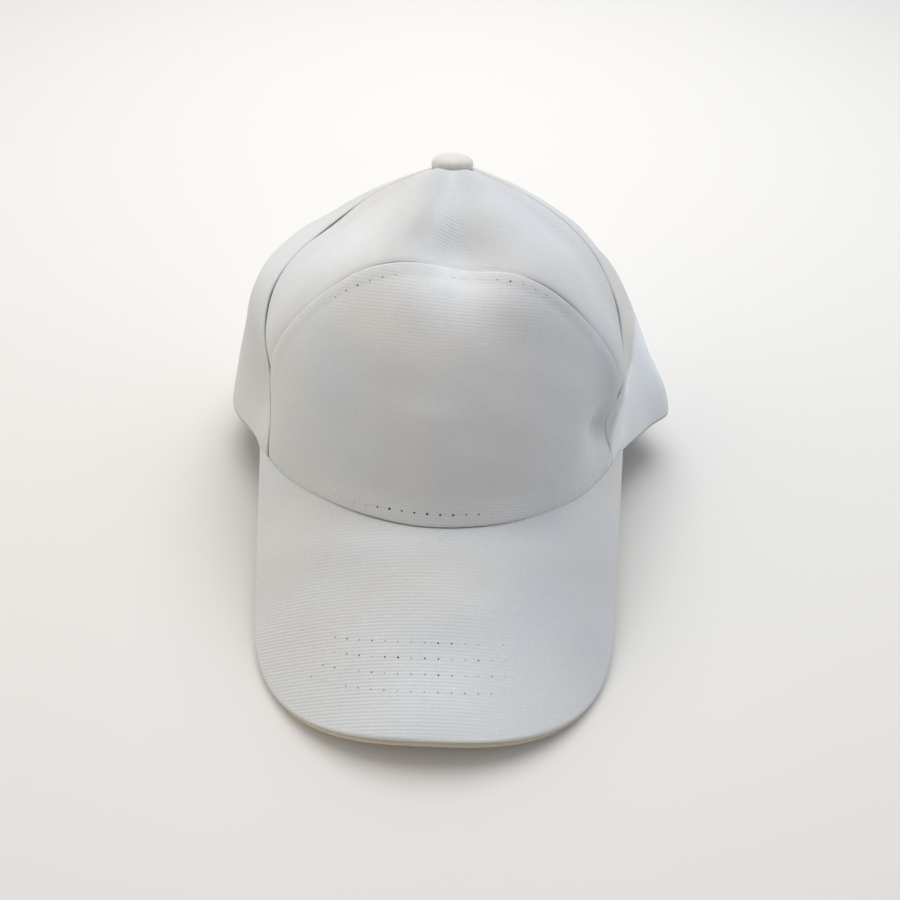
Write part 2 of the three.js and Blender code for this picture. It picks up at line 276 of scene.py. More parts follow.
# Point of the peak: x across, forward down its slope, depth below its upper face
def peakPoint(x, forward, depth):
    tilt = x / peak["bendRadius"]
    square = depth / np.hypot(1, tilt)
    fall = x * x / (2 * peak["bendRadius"]) + square
    return np.stack([
        x - tilt * square,
        frontRimY - forward * peakCos + fall * peakSin,
        peak["rise"] - forward * peakSin - fall * peakCos,
    ], -1)


# Half width of the peak: straight sides that close in towards the front
def peakHalfWidth(forward):
    return peak["halfWidth"] - peak["taper"] * forward


# Free edge of the peak at a share of its width: a cubed superellipse round the front corners
def peakEdge(share, length):
    corner = (1 - np.abs(share) ** 3) ** (1 / 3)
    return peak["cornerStart"] + (length - peak["cornerStart"]) * corner


# Forward place where the peak meets the crown's rim, found by halving
def peakSeam(share, depth):
    # The distance from the axis, against the rim's and the gap
    def isInside(forward):
        point = peakPoint(share * peakHalfWidth(forward), forward, depth)
        rim = sectionValue(np.degrees(np.arctan2(point[..., 0], -point[..., 1])), rimColumn)
        return np.hypot(point[..., 0], point[..., 1]) < rim + peak["jointGap"] + peak["jointFlare"] * depth

    return halved(isInside, *(end + 0 * share for end in peak["seamBetween"]))


# Rotation about X by an angle in degrees, for rows of points
def turnAboutX(points, angle):
    c, s = math.cos(math.radians(angle)), math.sin(math.radians(angle))
    return np.stack([points[..., 0], points[..., 1] * c - points[..., 2] * s,
                     points[..., 1] * s + points[..., 2] * c], -1)


button = {
    # radius and height above the crown's apex, as in the part's source
    "profile": np.array([[0, -6.5], [2.7, -6.5], [2.7, -0.5], [8.1, -2.1], [8.5, -1.2], [8.5, 0.2],
                         [7.9, 1.6], [6.2, 2.7], [3.4, 3.3], [0, 3.5]]),
    "sides": 28,
    "lean": 3,
    # the covered button: how far it sinks, its grid, rounds of smoothing, and the gathers of its cloth
    "sink": 0.7,
    "points": 40,
    "columns": 96,
    "rounds": 3,
    "gather": 0.09,
    "gathers": 13,
    "gatherDrift": (1.3, 3),
    "gatherFrom": (4.5, 8.2),
    "radius": 8.5,
}


# Profile of (radius, height) spun about Z: x = r sin a, y = -r cos a
def spin(profile, angles):
    radius, height = profile[:, None, 0], profile[:, None, 1]
    return np.stack([radius * np.sin(angles), -radius * np.cos(angles), height + 0 * angles], -1)


# The shift that stands the cap on z = 0 is read from where the button's solid is
def standingShift():
    angles = np.linspace(0, 2 * math.pi, button["sides"], endpoint=False)
    solid = turnAboutX(spin(button["profile"], angles), -button["lean"])
    solid[..., 2] += crown["height"]
    lowest = turnAboutX(solid, -crown["restTilt"]).reshape(-1, 3).min(0)
    return np.array(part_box("top_button")[0]) * 1000 - lowest


capShift = standingShift()
restUp = turnAboutX(np.array([0.0, 0, 1]), crown["restTilt"])
backRim = crownPoint(np.array(180.0), np.array(0.0), crown["folds"])
restLevel = float(backRim @ restUp) + crown["restFlattening"]
print("cap frame stands at", np.round(capShift, 3), "mm")


# Cap frame in millimetres to the world in metres; cloth below the rest level is pressed flat on it
def toWorld(points, flatten=True):
    if flatten:
        below = np.clip(restLevel - points @ restUp, 0, None)
        points = points + below[..., None] * restUp
    return (turnAboutX(points, -crown["restTilt"]) + capShift) * 0.001


finishes = {}  # materials by name, filled further down


# One piece on the cap's body, with its slot, from points in the cap's frame and triangles. Values ride on
# the vertices and uv on the loops. It may stand for a CAD node, and may have a finish of its own.
def addPiece(name, points, triangles, uv, slot, node=None, finish=None, values=()):
    used, triangles = np.unique(triangles, return_inverse=True)
    triangles = triangles.reshape(-1, 3).astype(np.int32)
    vertices = toWorld(points.reshape(-1, 3)[used])
    mesh = bpy.data.meshes.new(name)
    mesh.vertices.add(len(vertices))
    mesh.vertices.foreach_set("co", vertices.astype(np.float32).ravel())
    mesh.loops.add(triangles.size)
    mesh.loops.foreach_set("vertex_index", triangles.ravel())
    mesh.polygons.add(len(triangles))
    mesh.polygons.foreach_set("loop_start", np.arange(0, triangles.size, 3, dtype=np.int32))
    mesh.polygons.foreach_set("use_smooth", np.ones(len(triangles), bool))
    layer = mesh.uv_layers.new(name="cloth")
    uv = uv.reshape(-1, 2)[used][triangles.ravel()]
    layer.data.foreach_set("uv", uv.astype(np.float32).ravel())
    for key, field in values:
        mesh.attributes.new(key, "FLOAT", "POINT").data.foreach_set("value", field[used].astype(np.float32))
    mesh.update()
    mesh.validate()
    mesh.materials.append(finishes[finish or slot])
    piece = bpy.data.objects.new(name, mesh)
    bpy.context.scene.collection.objects.link(piece)
    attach(piece, "root")
    if node:
        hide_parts(node)
    print(f"{name}: {len(triangles)} triangles")


# Triangles of the cells of a grid of vertex numbers, over its last two axes; those that fold are dropped
def gridTriangles(corner, flip=False):
    low, high = corner[..., :-1, :], corner[..., 1:, :]
    a, b, c, d = low[..., :-1], low[..., 1:], high[..., 1:], high[..., :-1]
    order = ((a, c, b), (a, d, c)) if flip else ((a, b, c), (a, c, d))
    faces = np.concatenate([np.stack(three, -1).reshape(-1, 3) for three in order])
    folded = (faces[:, 0] == faces[:, 1]) | (faces[:, 1] == faces[:, 2]) | (faces[:, 0] == faces[:, 2])
    return faces[~folded]


# Triangles that fill rings of vertex numbers from their first vertex
def fanTriangles(ring, flip=False):
    a, b, c = ring[..., :1] + 0 * ring[..., 2:], ring[..., 1:-1], ring[..., 2:]
    return np.stack((a, c, b) if flip else (a, b, c), -1).reshape(-1, 3)


# Vertex numbers of a grid of this shape, with the first ones repeated at the end of an axis that closes
def numbered(*shape, closed=(-1,)):
    index = np.arange(math.prod(shape)).reshape(shape)
    for axis in closed:
        index = np.concatenate([index, index.take([0], axis)], axis)
    return index


# A closed sheet of cloth from an outer and an inner grid. Each column uses only its rows first..last,
# and the rest fold onto them. The inner face is coarser: its rows and columns are rounded to innerStep.
def sheetTriangles(shape, first, last, innerStep):
    rows, columns = shape[0] - 1, shape[1] - 1
    i, j = np.indices(shape)
    outer = np.clip(i, first, last) * shape[1] + j
    coarse = [np.where(n == most, most, np.minimum(np.round(n / step).astype(int) * step, most))
              for n, most, step in ((i, rows, innerStep[0]), (j, columns, innerStep[1]))]
    inner = np.clip(coarse[0], first[coarse[1]], last[coarse[1]]) * shape[1] + coarse[1]
    inner = inner + shape[0] * shape[1]
    walls = [np.stack([inner[0], outer[0]]), np.stack([outer[-1], inner[-1]]),
             np.stack([outer[:, 0], inner[:, 0]]), np.stack([inner[:, -1], outer[:, -1]])]
    faces = [gridTriangles(outer), gridTriangles(inner, True)] + [gridTriangles(wall) for wall in walls]
    return np.concatenate(faces)


# Rows of a sheet: even places, and for each column the rows nearest to its low and high ends
def clampedRows(low, high, step):
    start, near = math.floor(low.min() / step) * step, 0.25
    rows = int(math.ceil((high.max() - start) / step))
    first = np.clip(np.floor((low - start) / step + near).astype(int), 0, rows)
    last = np.clip(np.ceil((high - start) / step - near).astype(int), first + 1, rows)
    i = np.arange(rows + 1)[:, None]
    places = start + i * step + 0 * low
    return np.where(i <= first, low, np.where(i >= last, high, places)), first, last


# Shares -1..1 that crowd towards both ends: e + c sin(pi e) / pi
def crowdedShares(columns, crowding):
    even = np.linspace(-1, 1, columns + 1)
    return even + crowding * np.sin(math.pi * even) / math.pi


# Soft unevenness, about -1..1: the mean of sine waves in random directions, 0.6 to 1.5 times the size long
def softNoise(u, v, size, seed):
    waves, shortest, spread = 9, 0.6, 0.9
    total = 0
    for turn, phase, stretch in np.random.default_rng(seed).random((waves, 3)):
        wave = 2 * math.pi / (size * (shortest + spread * stretch))
        angle = 2 * math.pi * turn
        total = total + np.sin(wave * (u * math.cos(angle) + v * math.sin(angle)) + 2 * math.pi * phase)
    return total / math.sqrt(waves)


# Closed sheet between two grids of points; groove and tone are the values that its material reads: groove
# darkens the colour as painted shade in seams and hollows, and tone paints light and shade in patches
def addSheet(name, outer, inner, rows, innerStep, uv, groove, tone, slot, flip=False):
    triangles = sheetTriangles(groove.shape, *rows, innerStep)
    values = [("groove", np.stack([groove, 0 * groove]).ravel()), ("tone", np.stack([tone, tone]).ravel())]
    addPiece(name, np.stack([outer, inner]), triangles[:, ::-1] if flip else triangles,
             np.stack([uv, uv]), slot, name, values=values)


# The crown's cloth. Courses are a base, then steps and bells, as the function course reads them.
cloth = {
    "thickness": 1.5,
    "seamGap": 0.05,
    "frontRadius": 85,  # of the crown at the front's seams
    "ribHeight": 0.036,
    "rowsPerRib": 4,
    "innerStep": (8, 2),
    "frontCrowding": 0.72,
    "grooveDepth": 0.7,
    "grooveWidth": 0.38,
    # the edge that a folded allowance raises, and where it rises and sinks back
    "allowanceHeight": 0.5,
    "allowanceFades": [(0, 0.9), (9.5, 2.6)],
    "unevenness": 0.22,
    "calmFrom": (0.93, 0.72),
    # courses of how deep the seams are drawn in, and so how dark their painted shade is: up the front's sides
    # and near the button, and along the arch
    "leftDraw": (1.15, [(-0.3, 0.45, 0.6)]),
    "rightDraw": (0.85, [(-0.2, 0.25, 0.1)]),
    "topDraw": (1, [(-0.8, 0.87, 1)]),
    "archDraw": (0.06, [(0.3, -0.1, -0.2), (0.45, -0.75, -0.92), (0.6, 0.3, 0.6), (-0.4, 0.85, 0.97)],
                 [(0.4, -0.28, 0.12)]),
    # cloth pushed up by the button's stem, and the line of painted shade where it meets the button
    "stem": {"rise": 2.2, "radius": 8.5, "fade": 11, "dark": 0.9, "line": (8.6, 0.5)},
    # azimuth, level, across, along, turn, depth: slight marks that only the cloth shows
    "smallFolds": [
        (-1, 0.27, 13, 6, -6, 0.5),
        (-16, 0.16, 4, 16, 8, 0.45),
        (-1, 0.63, 7, 9, 0, 0.9),
        (-12, 0.60, 9, 14, 12, 0.5),
        (8, 0.71, 18, 11, -10, 1.6),
        (-3, 0.77, 12, 14, 20, 1.9),
    ],
    # the same six numbers for painted light and shade: how much lighter or darker the cloth is painted there
    "tones": [
        (28, 0.5, 28, 23, 0, -0.17),
        (44, 0.42, 16, 22, 0, -0.11),
        (54, 0.26, 13, 20, 0, -0.15),
        (46, 0.57, 22, 18, 0, -0.04),
        (-3, 0.38, 20, 13, 0, -0.07),
        (0, 0.025, 46, 8, 0, 0.13),
        (-58, 0.68, 30, 24, 0, 0.11),
        (-42, 0.68, 24, 20, 0, 0.09),
        (-76, 0.43, 20, 30, 0, 0.13),
        (-84, 0.55, 14, 30, 0, 0.05),
        (0, 0.76, 20, 16, 0, 0.1),
        (0, 0.88, 26, 18, 0, 0.17),
        (20, 0.77, 16, 16, 0, 0.04),
        (84, 0.12, 14, 14, 0, 0.07),
    ],
}
allFolds = crown["folds"] + cloth["smallFolds"]


# How deep the cloth dives into a seam at a distance from it, which also sets the painted shade there:
# exp(-distance / width)
def seamGroove(distance):
    return bell(distance, 0, cloth["grooveWidth"], 1)


# How deep a side seam of the front is drawn in, and so how dark its painted shade is: its course up the left
# or right, and closed near the button
def seamDraw(azimuth, level):
    sides = np.where(azimuth < 0, course(level, *cloth["leftDraw"]), course(level, *cloth["rightDraw"]))
    return sides * course(level, *cloth["topDraw"])


# Waves of soft unevenness that calm down towards the button, where they would crowd together
def unevenness(across, height, level, size, seed):
    return softNoise(across, height, size, seed) * cloth["unevenness"] * smoothStep(level, *cloth["calmFrom"])


# Cloth pushed up by the button's stem, most at the front: a bell round the hole
def buttonRise(azimuth, level):
    stem, front = cloth["stem"], np.clip(np.cos(np.radians(azimuth)), 0, 1)
    outside = np.clip(fromApex(azimuth, level) - stem["radius"], 0, None)
    return stem["rise"] * front * bell(outside, 0, stem["fade"])


# Painted shade where the cloth meets the button: a dark line, a bell round the button's radius
def buttonShade(azimuth, level):
    return cloth["stem"]["dark"] * bell(fromApex(azimuth, level), *cloth["stem"]["line"])


# The crease where the flared right corner folds back
crease = {
    # azimuth and level along it
    "line": np.array([(91, 0.25), (85, 0.217), (81.7, 0.187), (76, 0.169),
                      (68, 0.168), (61.5, 0.13), (58, 0.08), (55, 0.03)]),
    # its height on the corner's side and depth on the other, how far each goes, and the width between
    "height": 0.3,
    "depth": 0.9,
    "far": 9,
    "near": 5,
    "edge": 0.8,
    "levels": [(0.01, 0.08), (0.27, 0.2)],
    # painted light on the corner behind it: how much lighter, how far, and between which azimuths and levels
    "tone": 0.25,
    "toneWidth": 42,
    "toneAzimuths": [(50, 58), (128, 98)],
    "toneUnder": (0.3, 0.2),
}


# Distance to the crease's straight pieces in the unfolded cloth, and how far on the corner's side, 0..1
def creasePlace(azimuth, level):
    corners = np.stack([acrossCloth(crease["line"][:, 0]), crease["line"][:, 1] * clothHeight], -1)
    place = np.stack([acrossCloth(azimuth), level * clothHeight], -1)
    nearest, side = np.full(azimuth.shape, 1e3), np.zeros(azimuth.shape)
    for a, b in zip(corners[:-1], corners[1:]):
        run = b - a
        share = np.clip(((place - a) @ run) / (run @ run), 0, 1)
        apart = place - a - share[..., None] * run
        distance = np.hypot(apart[..., 0], apart[..., 1])
        turn = run[0] * (place[..., 1] - a[1]) - run[1] * (place[..., 0] - a[0])
        side = np.where(distance < nearest, np.sign(turn), side)
        nearest = np.minimum(distance, nearest)
    return nearest, 0.5 + 0.5 * np.tanh(nearest * side / crease["edge"])


# Relief of the crease: a ridge on the corner's side and a valley on the other, which fade at both ends
def creaseRelief(azimuth, level):
    nearest, corner = creasePlace(azimuth, level)
    ends = window(level, crease["levels"]) * (azimuth > 0)
    ridge = crease["height"] * bell(nearest, 0, crease["far"])
    valley = crease["depth"] * bell(nearest, 0, crease["near"])
    return (corner * ridge - (1 - corner) * valley) * ends


# Painted light and shade: how much lighter or darker the cloth is painted in its soft patches, and painted
# light on the corner behind the crease
def clothTone(azimuth, level):
    nearest, corner = creasePlace(azimuth, level)
    near = window(azimuth, crease["toneAzimuths"])
    # painted light: the corner behind the crease is made lighter
    bright = crease["tone"] * corner * bell(nearest, 0, crease["toneWidth"]) * near
    return (sum(foldDepth(patch, azimuth, level) for patch in cloth["tones"])
            + bright * smoothStep(level, *crease["toneUnder"]))


# Distance round the crown from a seam, in millimetres
def arcDistance(azimuth, seam, point):
    return np.radians(np.abs(azimuth - seam)) * np.hypot(point[..., 0], point[..., 1])


# One sheet of cloth on the crown from azimuths and levels, with the relief that the caller works out
def clothSheet(name, azimuth, level, rows, relief, groove, uv):
    point, normal = crownFrame(azimuth, level, allFolds)
    inward = cloth["thickness"] + cloth["grooveDepth"] * groove
    addSheet(name, point + normal * relief[..., None], point - normal * inward[..., None], rows,
             cloth["innerStep"], uv, groove, clothTone(wrapDegrees(azimuth), level), "white_cloth")


# Relief of the ribs: a cosine across them that fades out near seams
def ribRelief(ribs, pitch, height, nearSeam):
    return height * np.cos(2 * math.pi * ribs / pitch) * (1 - nearSeam)


# The left side seam, where the side panel's edge rolls up over the front one, which is lower, and the
# roll's lower face is darkened with painted shade
roll = {
    "fades": [(0, 0.9), (8, 2.5)],
    "levels": (0.5, 0.3),
    "height": (0.25, [], [(0.65, 0.19, 0.08)]),
    "frontDrop": 0.3,
    "frontWidth": 3,
    # painted shade of the roll's lower face: how dark, how wide, and where up the seam
    "dark": 0.8,
    "darkWidth": (0.38, [], [(1.5, 0.18, 0.07)]),
    "darkLevels": [(0, 0.1), (0.8, 0.66)],
    "darkCourse": (1, [(-0.3, 0.36, 0.42)]),
}

# The two front panels: between which of frontEnds they lie and which of them is the arch seam. Their ribs
# lie in planes that lean back by tilt degrees and slant down to the right, steeper by bend near the middle.
frontPanel = {
    "name": "front_panel", "ends": (0, 1), "arch": 1, "columns": 190, "softSize": 34, "seed": 3,
    "tilt": 21, "slant": 0.04, "bend": 0, "bendWidth": 11, "ribPitch": 1.3,
    # courses of the ribs' height up the panel, and of how deep the seam with the peak is drawn in across it,
    # with its painted shade
    "ribCourse": (0.18, [(0.6, 0.3, 0.6), (1.5, 0.15, 0.03)]),
    "peakDraw": (0.15, [], [(0.75, -8, 38, 4)]),
    "peakDrawUnder": 0.05,
    # puckers beside the seams: height, waves for each millimetre, their jitter with its size and seed, reach
    "pucker": {"height": 0.05, "rate": 1.22, "jitter": 0.8, "size": 20, "seed": 4, "reach": 6},
    # painted highlight on the arch seam's rolled edge, on the left
    "bright": 0.16,
    "brightAt": (1.1, 0.8),
    "brightTo": (0.1, -0.2),
}
upperPanel = {
    "name": "upper_front_panel", "ends": (2, 3), "arch": 2, "columns": 176, "softSize": 34, "seed": 5,
    "tilt": 32, "slant": 0.05, "bend": 0.05, "bendWidth": 14, "ribPitch": 1.25,
    # the ribs show most over the dent: least share, then the bells across and up the panel
    "ribHeight": 0.06,
    # how much painted shade darkens the rib hollows
    "ribShade": 0.1,
    "ribsLeast": 0.06,
    "ribsAcross": (1, 16),
    "ribsUp": (0.8, 0.1),
    # step down to the arch seam
    "step": 0.3,
    "stepTo": 3.5,
}


# Rib coordinate of a place on the unfolded crown: height along a plane that leans back, and slants
def ribPlace(azimuth, level, panel):
    point, tilt, across = crownPoint(azimuth, level, []), math.radians(panel["tilt"]), acrossCloth(azimuth)
    bent = panel["bend"] * panel["bendWidth"] * np.tanh(across / panel["bendWidth"])
    return point[..., 2] * math.cos(tilt) + point[..., 1] * math.sin(tilt) + panel["slant"] * across + bent


# Azimuth of a share of the front at a level, short of the side seam by half the gap
def frontAzimuth(share, level):
    return share * (seamAzimuth(level, frontSeam) - np.degrees(0.5 * cloth["seamGap"] / cloth["frontRadius"]))


# Ends of the front panels' columns: the rim, both sides of the arch seam and the button's hole
def frontEnds(share):
    gap = 0.5 * cloth["seamGap"] / clothHeight * archStretch(share)
    return (rimLevel(share * seamAzimuth(0, frontSeam)), archLevel(share) - gap, archLevel(share) + gap,
            topLevel(share * seamAzimuth(1, frontSeam)))


# What the front panels share: places, rib coordinates, distance to the arch seam, grooves and unevenness
def frontPlaces(share, level, panel):
    azimuth = frontAzimuth(share, level)
    point, across = crownPoint(azimuth, level, allFolds), acrossCloth(azimuth)
    ribs = ribPlace(azimuth, level, panel)
    toArch = np.abs(level - frontEnds(share)[panel["arch"]]) * clothHeight / archStretch(share)
    toSide = arcDistance(np.abs(azimuth), seamAzimuth(level, frontSeam), point)
    groove = np.maximum(seamGroove(toSide) * seamDraw(azimuth, level),
                        seamGroove(toArch) * course(share, *cloth["archDraw"]))
    soft = unevenness(across, ribs, level, panel["softSize"], panel["seed"])
    return azimuth, across, ribs, toArch, groove, soft


# Front panel: ribs, the allowance folded under its edge, puckers beside the seams, and their grooves
def frontRelief(share, level):
    azimuth, across, ribs, toArch, groove, soft = frontPlaces(share, level, frontPanel)
    toPeak = np.clip(level, 0, None) * clothHeight
    drawn = course(across, *frontPanel["peakDraw"]) * (level < frontPanel["peakDrawUnder"])
    groove = np.maximum(groove, drawn * seamGroove(toPeak))
    pucker = frontPanel["pucker"]
    jitter = pucker["jitter"] * softNoise(across, ribs, pucker["size"], pucker["seed"])
    near = sum(bell(distance, 0, pucker["reach"], 1) for distance in (toArch, toPeak))
    height = cloth["ribHeight"] * course(level, *frontPanel["ribCourse"])
    relief = ribRelief(ribs, frontPanel["ribPitch"], height, groove) + soft
    relief = relief + pucker["height"] * np.sin(across * pucker["rate"] + jitter) * near
    toLeft = arcDistance(azimuth, -seamAzimuth(level, frontSeam), crownPoint(azimuth, level, allFolds))
    drop = roll["frontDrop"] * bell(toLeft, 0, roll["frontWidth"], 1) * smoothStep(level, *roll["levels"])
    raised = cloth["allowanceHeight"] * window(toArch, cloth["allowanceFades"])
    relief = relief - drop + raised + creaseRelief(azimuth, level)
    # painted highlight: a negative groove value lightens the rolled edge along the arch on the left
    bright = bell(toArch, *frontPanel["brightAt"]) * smoothStep(share, *frontPanel["brightTo"])
    groove = groove - frontPanel["bright"] * bright
    return azimuth, relief - cloth["grooveDepth"] * groove, groove, np.stack([across, ribs], -1)


# Upper front panel: ribs that show most over the dent, cloth pushed up by the button, and a step down to
# the arch seam
def upperRelief(share, level):
    azimuth, across, ribs, toArch, groove, soft = frontPlaces(share, level, upperPanel)
    seen = bell(across, *upperPanel["ribsAcross"]) * bell(level, *upperPanel["ribsUp"])
    seen = upperPanel["ribsLeast"] + (1 - upperPanel["ribsLeast"]) * seen
    pitch = upperPanel["ribPitch"]
    relief = ribRelief(ribs, pitch, upperPanel["ribHeight"] * seen, groove) + soft
    relief = relief + buttonRise(azimuth, level) + creaseRelief(azimuth, level)
    step = upperPanel["step"] * smoothStep(toArch, upperPanel["stepTo"], 0)
    relief = relief - cloth["grooveDepth"] * groove - step
    # painted shade in the rib hollows, and painted shade round the button, go into the groove value
    hollow = 0.5 - 0.5 * np.cos(2 * math.pi * ribs / pitch)
    groove = groove + upperPanel["ribShade"] * seen * hollow + buttonShade(azimuth, level)
    return azimuth, relief, groove, np.stack([across, ribs * frontPanel["ribPitch"] / pitch], -1)


# A front panel, its rows along straight ribs: the level of each rib is found by halving
def buildFrontPanel(panel, reliefOf):
    share = crowdedShares(panel["columns"], cloth["frontCrowding"])
    low, high = (frontEnds(share)[end] for end in panel["ends"])
    ends = [ribPlace(frontAzimuth(share, level), level, panel) for level in (low, high)]
    ribs, *rows = clampedRows(*ends, panel["ribPitch"] / cloth["rowsPerRib"])

    # A level is below a rib where its rib coordinate is less
    def isBelow(at):
        return ribPlace(frontAzimuth(share, at), at, panel) < ribs

    level = halved(isBelow, low + 0 * ribs, high + 0 * ribs)
    level = np.where(ribs <= ends[0], low, np.where(ribs >= ends[1], high, level))
    azimuth, relief, groove, uv = reliefOf(share, level)
    clothSheet(panel["name"], azimuth, level, rows, relief, groove, uv)


# The side and back panels, narrow gores between two seams
gore = {
    # name, then its edges as a seam's column, its side and whole turns on, then columns and seed
    "panels": [
        ("side_panel_left", (sideSeam, -1, 0), (frontSeam, -1, 0), 56, 6),
        ("side_panel_right", (frontSeam, 1, 0), (sideSeam, 1, 0), 132, 7),
        ("back_panel_left", (backSeam, -1, 0), (sideSeam, -1, 0), 48, 8),
        ("back_panel_right", (sideSeam, 1, 0), (backSeam, 1, 0), 48, 9),
        ("back_panel_centre", (backSeam, 1, 0), (backSeam, -1, 360), 60, 10),
    ],
    "crowding": 0.7,
    "rowStep": 0.0024,
    "rowsPerRib": 5,
    "ribShare": 0.15,
    "softSize": 36,
    "drawnTo": 100,
    "hem": 0.5,
    "hemWidth": 0.6,
}


# Azimuth of a gore's edge at a level
def edgeAzimuth(edge, level):
    column, side, turn = edge
    return turn + side * seamAzimuth(level, column)


# How the side panel's edge rolls up over the front: the height of the roll, and the painted shade of its
# lower face
def rollOver(toFront, level):
    raised = course(level, *roll["height"]) * window(toFront, roll["fades"])
    shown = window(level, roll["darkLevels"]) * course(level, *roll["darkCourse"])
    dark = roll["dark"] * bell(toFront, 0, course(level, *roll["darkWidth"])) * shown
    return raised * smoothStep(level, *roll["levels"]), dark


# Gore between two edges; its rows run level round the head
def buildGore(name, fromEdge, toEdge, columns, seed):
    even = (crowdedShares(columns, gore["crowding"]) + 1) / 2
    foot, top = (edgeAzimuth(fromEdge, end) + even * (edgeAzimuth(toEdge, end) - edgeAzimuth(fromEdge, end))
                 for end in (0, 1))
    low = rimLevel(foot)
    level, *rows = clampedRows(low, topLevel(top), gore["rowStep"])
    fromAt, toAt = edgeAzimuth(fromEdge, level), edgeAzimuth(toEdge, level)
    middle = crownPoint(0.5 * (fromAt + toAt), level, [])
    inset = np.degrees(0.5 * cloth["seamGap"] / np.hypot(middle[..., 0], middle[..., 1]))
    azimuth = fromAt + inset + even * (toAt - fromAt - 2 * inset)
    point, wrapped = crownPoint(azimuth, level, allFolds), wrapDegrees(azimuth)
    toFrom, toTo = (arcDistance(azimuth, edge, point) for edge in (fromAt, toAt))
    drawn = np.where(np.abs(wrapped) < gore["drawnTo"], seamDraw(wrapped, level), 1)
    groove = seamGroove(np.minimum(toFrom, toTo)) * drawn
    across, height = acrossCloth(azimuth), level * clothHeight
    pitch = gore["rowStep"] * gore["rowsPerRib"] * clothHeight
    relief = ribRelief(height, pitch, gore["ribShare"] * cloth["ribHeight"], groove)
    relief = relief + unevenness(across, height, level, gore["softSize"], seed) + creaseRelief(wrapped, level)
    hem = gore["hem"] * bell((level - low) * clothHeight, 0, gore["hemWidth"], 1)
    relief = relief - cloth["grooveDepth"] * groove - hem
    if name == "side_panel_left":
        # the roll's painted shade goes into the groove value
        raised, dark = rollOver(toTo, level)
        relief, groove = relief + raised, groove + dark
    # painted shade round the button
    groove = groove + buttonShade(azimuth, level)
    clothSheet(name, azimuth, level, rows, relief, groove, np.stack([across, height], -1))


peakCloth = {
    "columns": 150,
    "ribPitch": 1.3,
    "ribHeight": 0.045,
    # courses of the ribs' height across and down the peak, and where the left corner near the crown is smooth
    "ribsAcross": (1.4, [(-0.3, -70, -20), (-0.95, -30, 50)]),
    "ribsForward": (0.6, [(0.58, 0, 52)]),
    "smooth": 0.7,
    "smoothAcross": (-42, -62),
    "smoothForward": (42, 15),
    # how far a rib runs back to the right side, and forward to both sides
    "ribTurn": 0.5,
    "ribBow": 6.2,
    "edgeRound": 1.1,
    "edgeFade": 1.5,
    # how deep the seam with the crown is drawn in across the peak, and so how dark its painted shade is
    "seamDraw": (0, [], [(0.6, -8, 40, 4)]),
    "seamDrop": 0.5,
    # height, size and seed of the unevenness
    "soft": (0.25, 40, 11),
    # x, forward, half widths across and along, depth: shallow marks of handling
    "dents": [(-44, 20, 16, 9, -0.5), (-52, 42, 9, 14, -0.45), (17, 24, 6, 6, -0.35), (8, 30, 22, 12, 0.35)],
    # the same for painted light and shade: how much lighter or darker the cloth is painted there
    "tones": [(6, 56, 40, 28, 0.17), (0, 16, 36, 16, 0.06), (0, 3, 50, 7, 0.13), (0, 70, 62, 14, 0.06),
              (66, 30, 16, 40, -0.06), (44, 8, 22, 16, -0.07)],
}
# The plain cloth under the peak: grid, depth at which it meets the crown, rounding of its edges
underCloth = {
    "columns": 110, "rowStep": 0.8, "jointDepth": 2.1, "clearance": 0.05,
    "upperRound": 0.5, "lowerRound": 0.7,
}


# Distance to the peak's free edge: how far the superellipse |x/w|^3 + |f/l|^3 = 1 is, over its slope
def peakEdgeDistance(x, forward, length):
    start, width = peak["cornerStart"], peakHalfWidth(forward)
    a = np.abs(x) / width
    b = np.clip(forward - start, 0, None) / (length - start)
    size = np.clip((a**3 + b**3) ** (1 / 3), 1e-3, None)
    slope = np.hypot(a**2 / width, b**2 / (length - start)) / size**2
    return np.clip((1 - size) / np.clip(slope, 1e-4, None), 0, None)


# How far a sheet's edge is rounded down: the fall of a quarter circle at a distance from the edge
def roundedFall(distance, radius):
    short = np.clip(radius - distance, 0, radius)
    return radius - np.sqrt(np.clip(radius**2 - short**2, 0, None))


# How far behind its rib's middle a place on the peak is: turned by a share, bowed by its square
def ribLay(share):
    return peakCloth["ribTurn"] * share - peakCloth["ribBow"] * share**2


# Grid of the peak between its seam with the crown and its free edge, its rows along the ribs
def peakGrid(columns, length, depth, step):
    share = np.sin(math.pi / 2 * np.linspace(-1, 1, columns + 1))
    seam = peakSeam(share, depth)
    ribs, *rows = clampedRows(seam + ribLay(share), peakEdge(share, length) + ribLay(share), step)
    forward = ribs - ribLay(share)
    x = share * peakHalfWidth(forward)
    return x, forward, peakEdgeDistance(x, forward, length), rows, ribs, forward - seam


# Sum of soft patches on the peak: (x, forward, half widths across and along, amount)
def peakPatches(x, forward, patches):
    return sum(amount * bell(x, placeX, across) * bell(forward, placeForward, along)
               for placeX, placeForward, across, along, amount in patches)


# Unevenness of the peak's upper cloth in millimetres outward, without its ribs
def peakRelief(x, forward):
    height, size, seed = peakCloth["soft"]
    return height * softNoise(x, forward, size, seed) + peakPatches(x, forward, peakCloth["dents"])


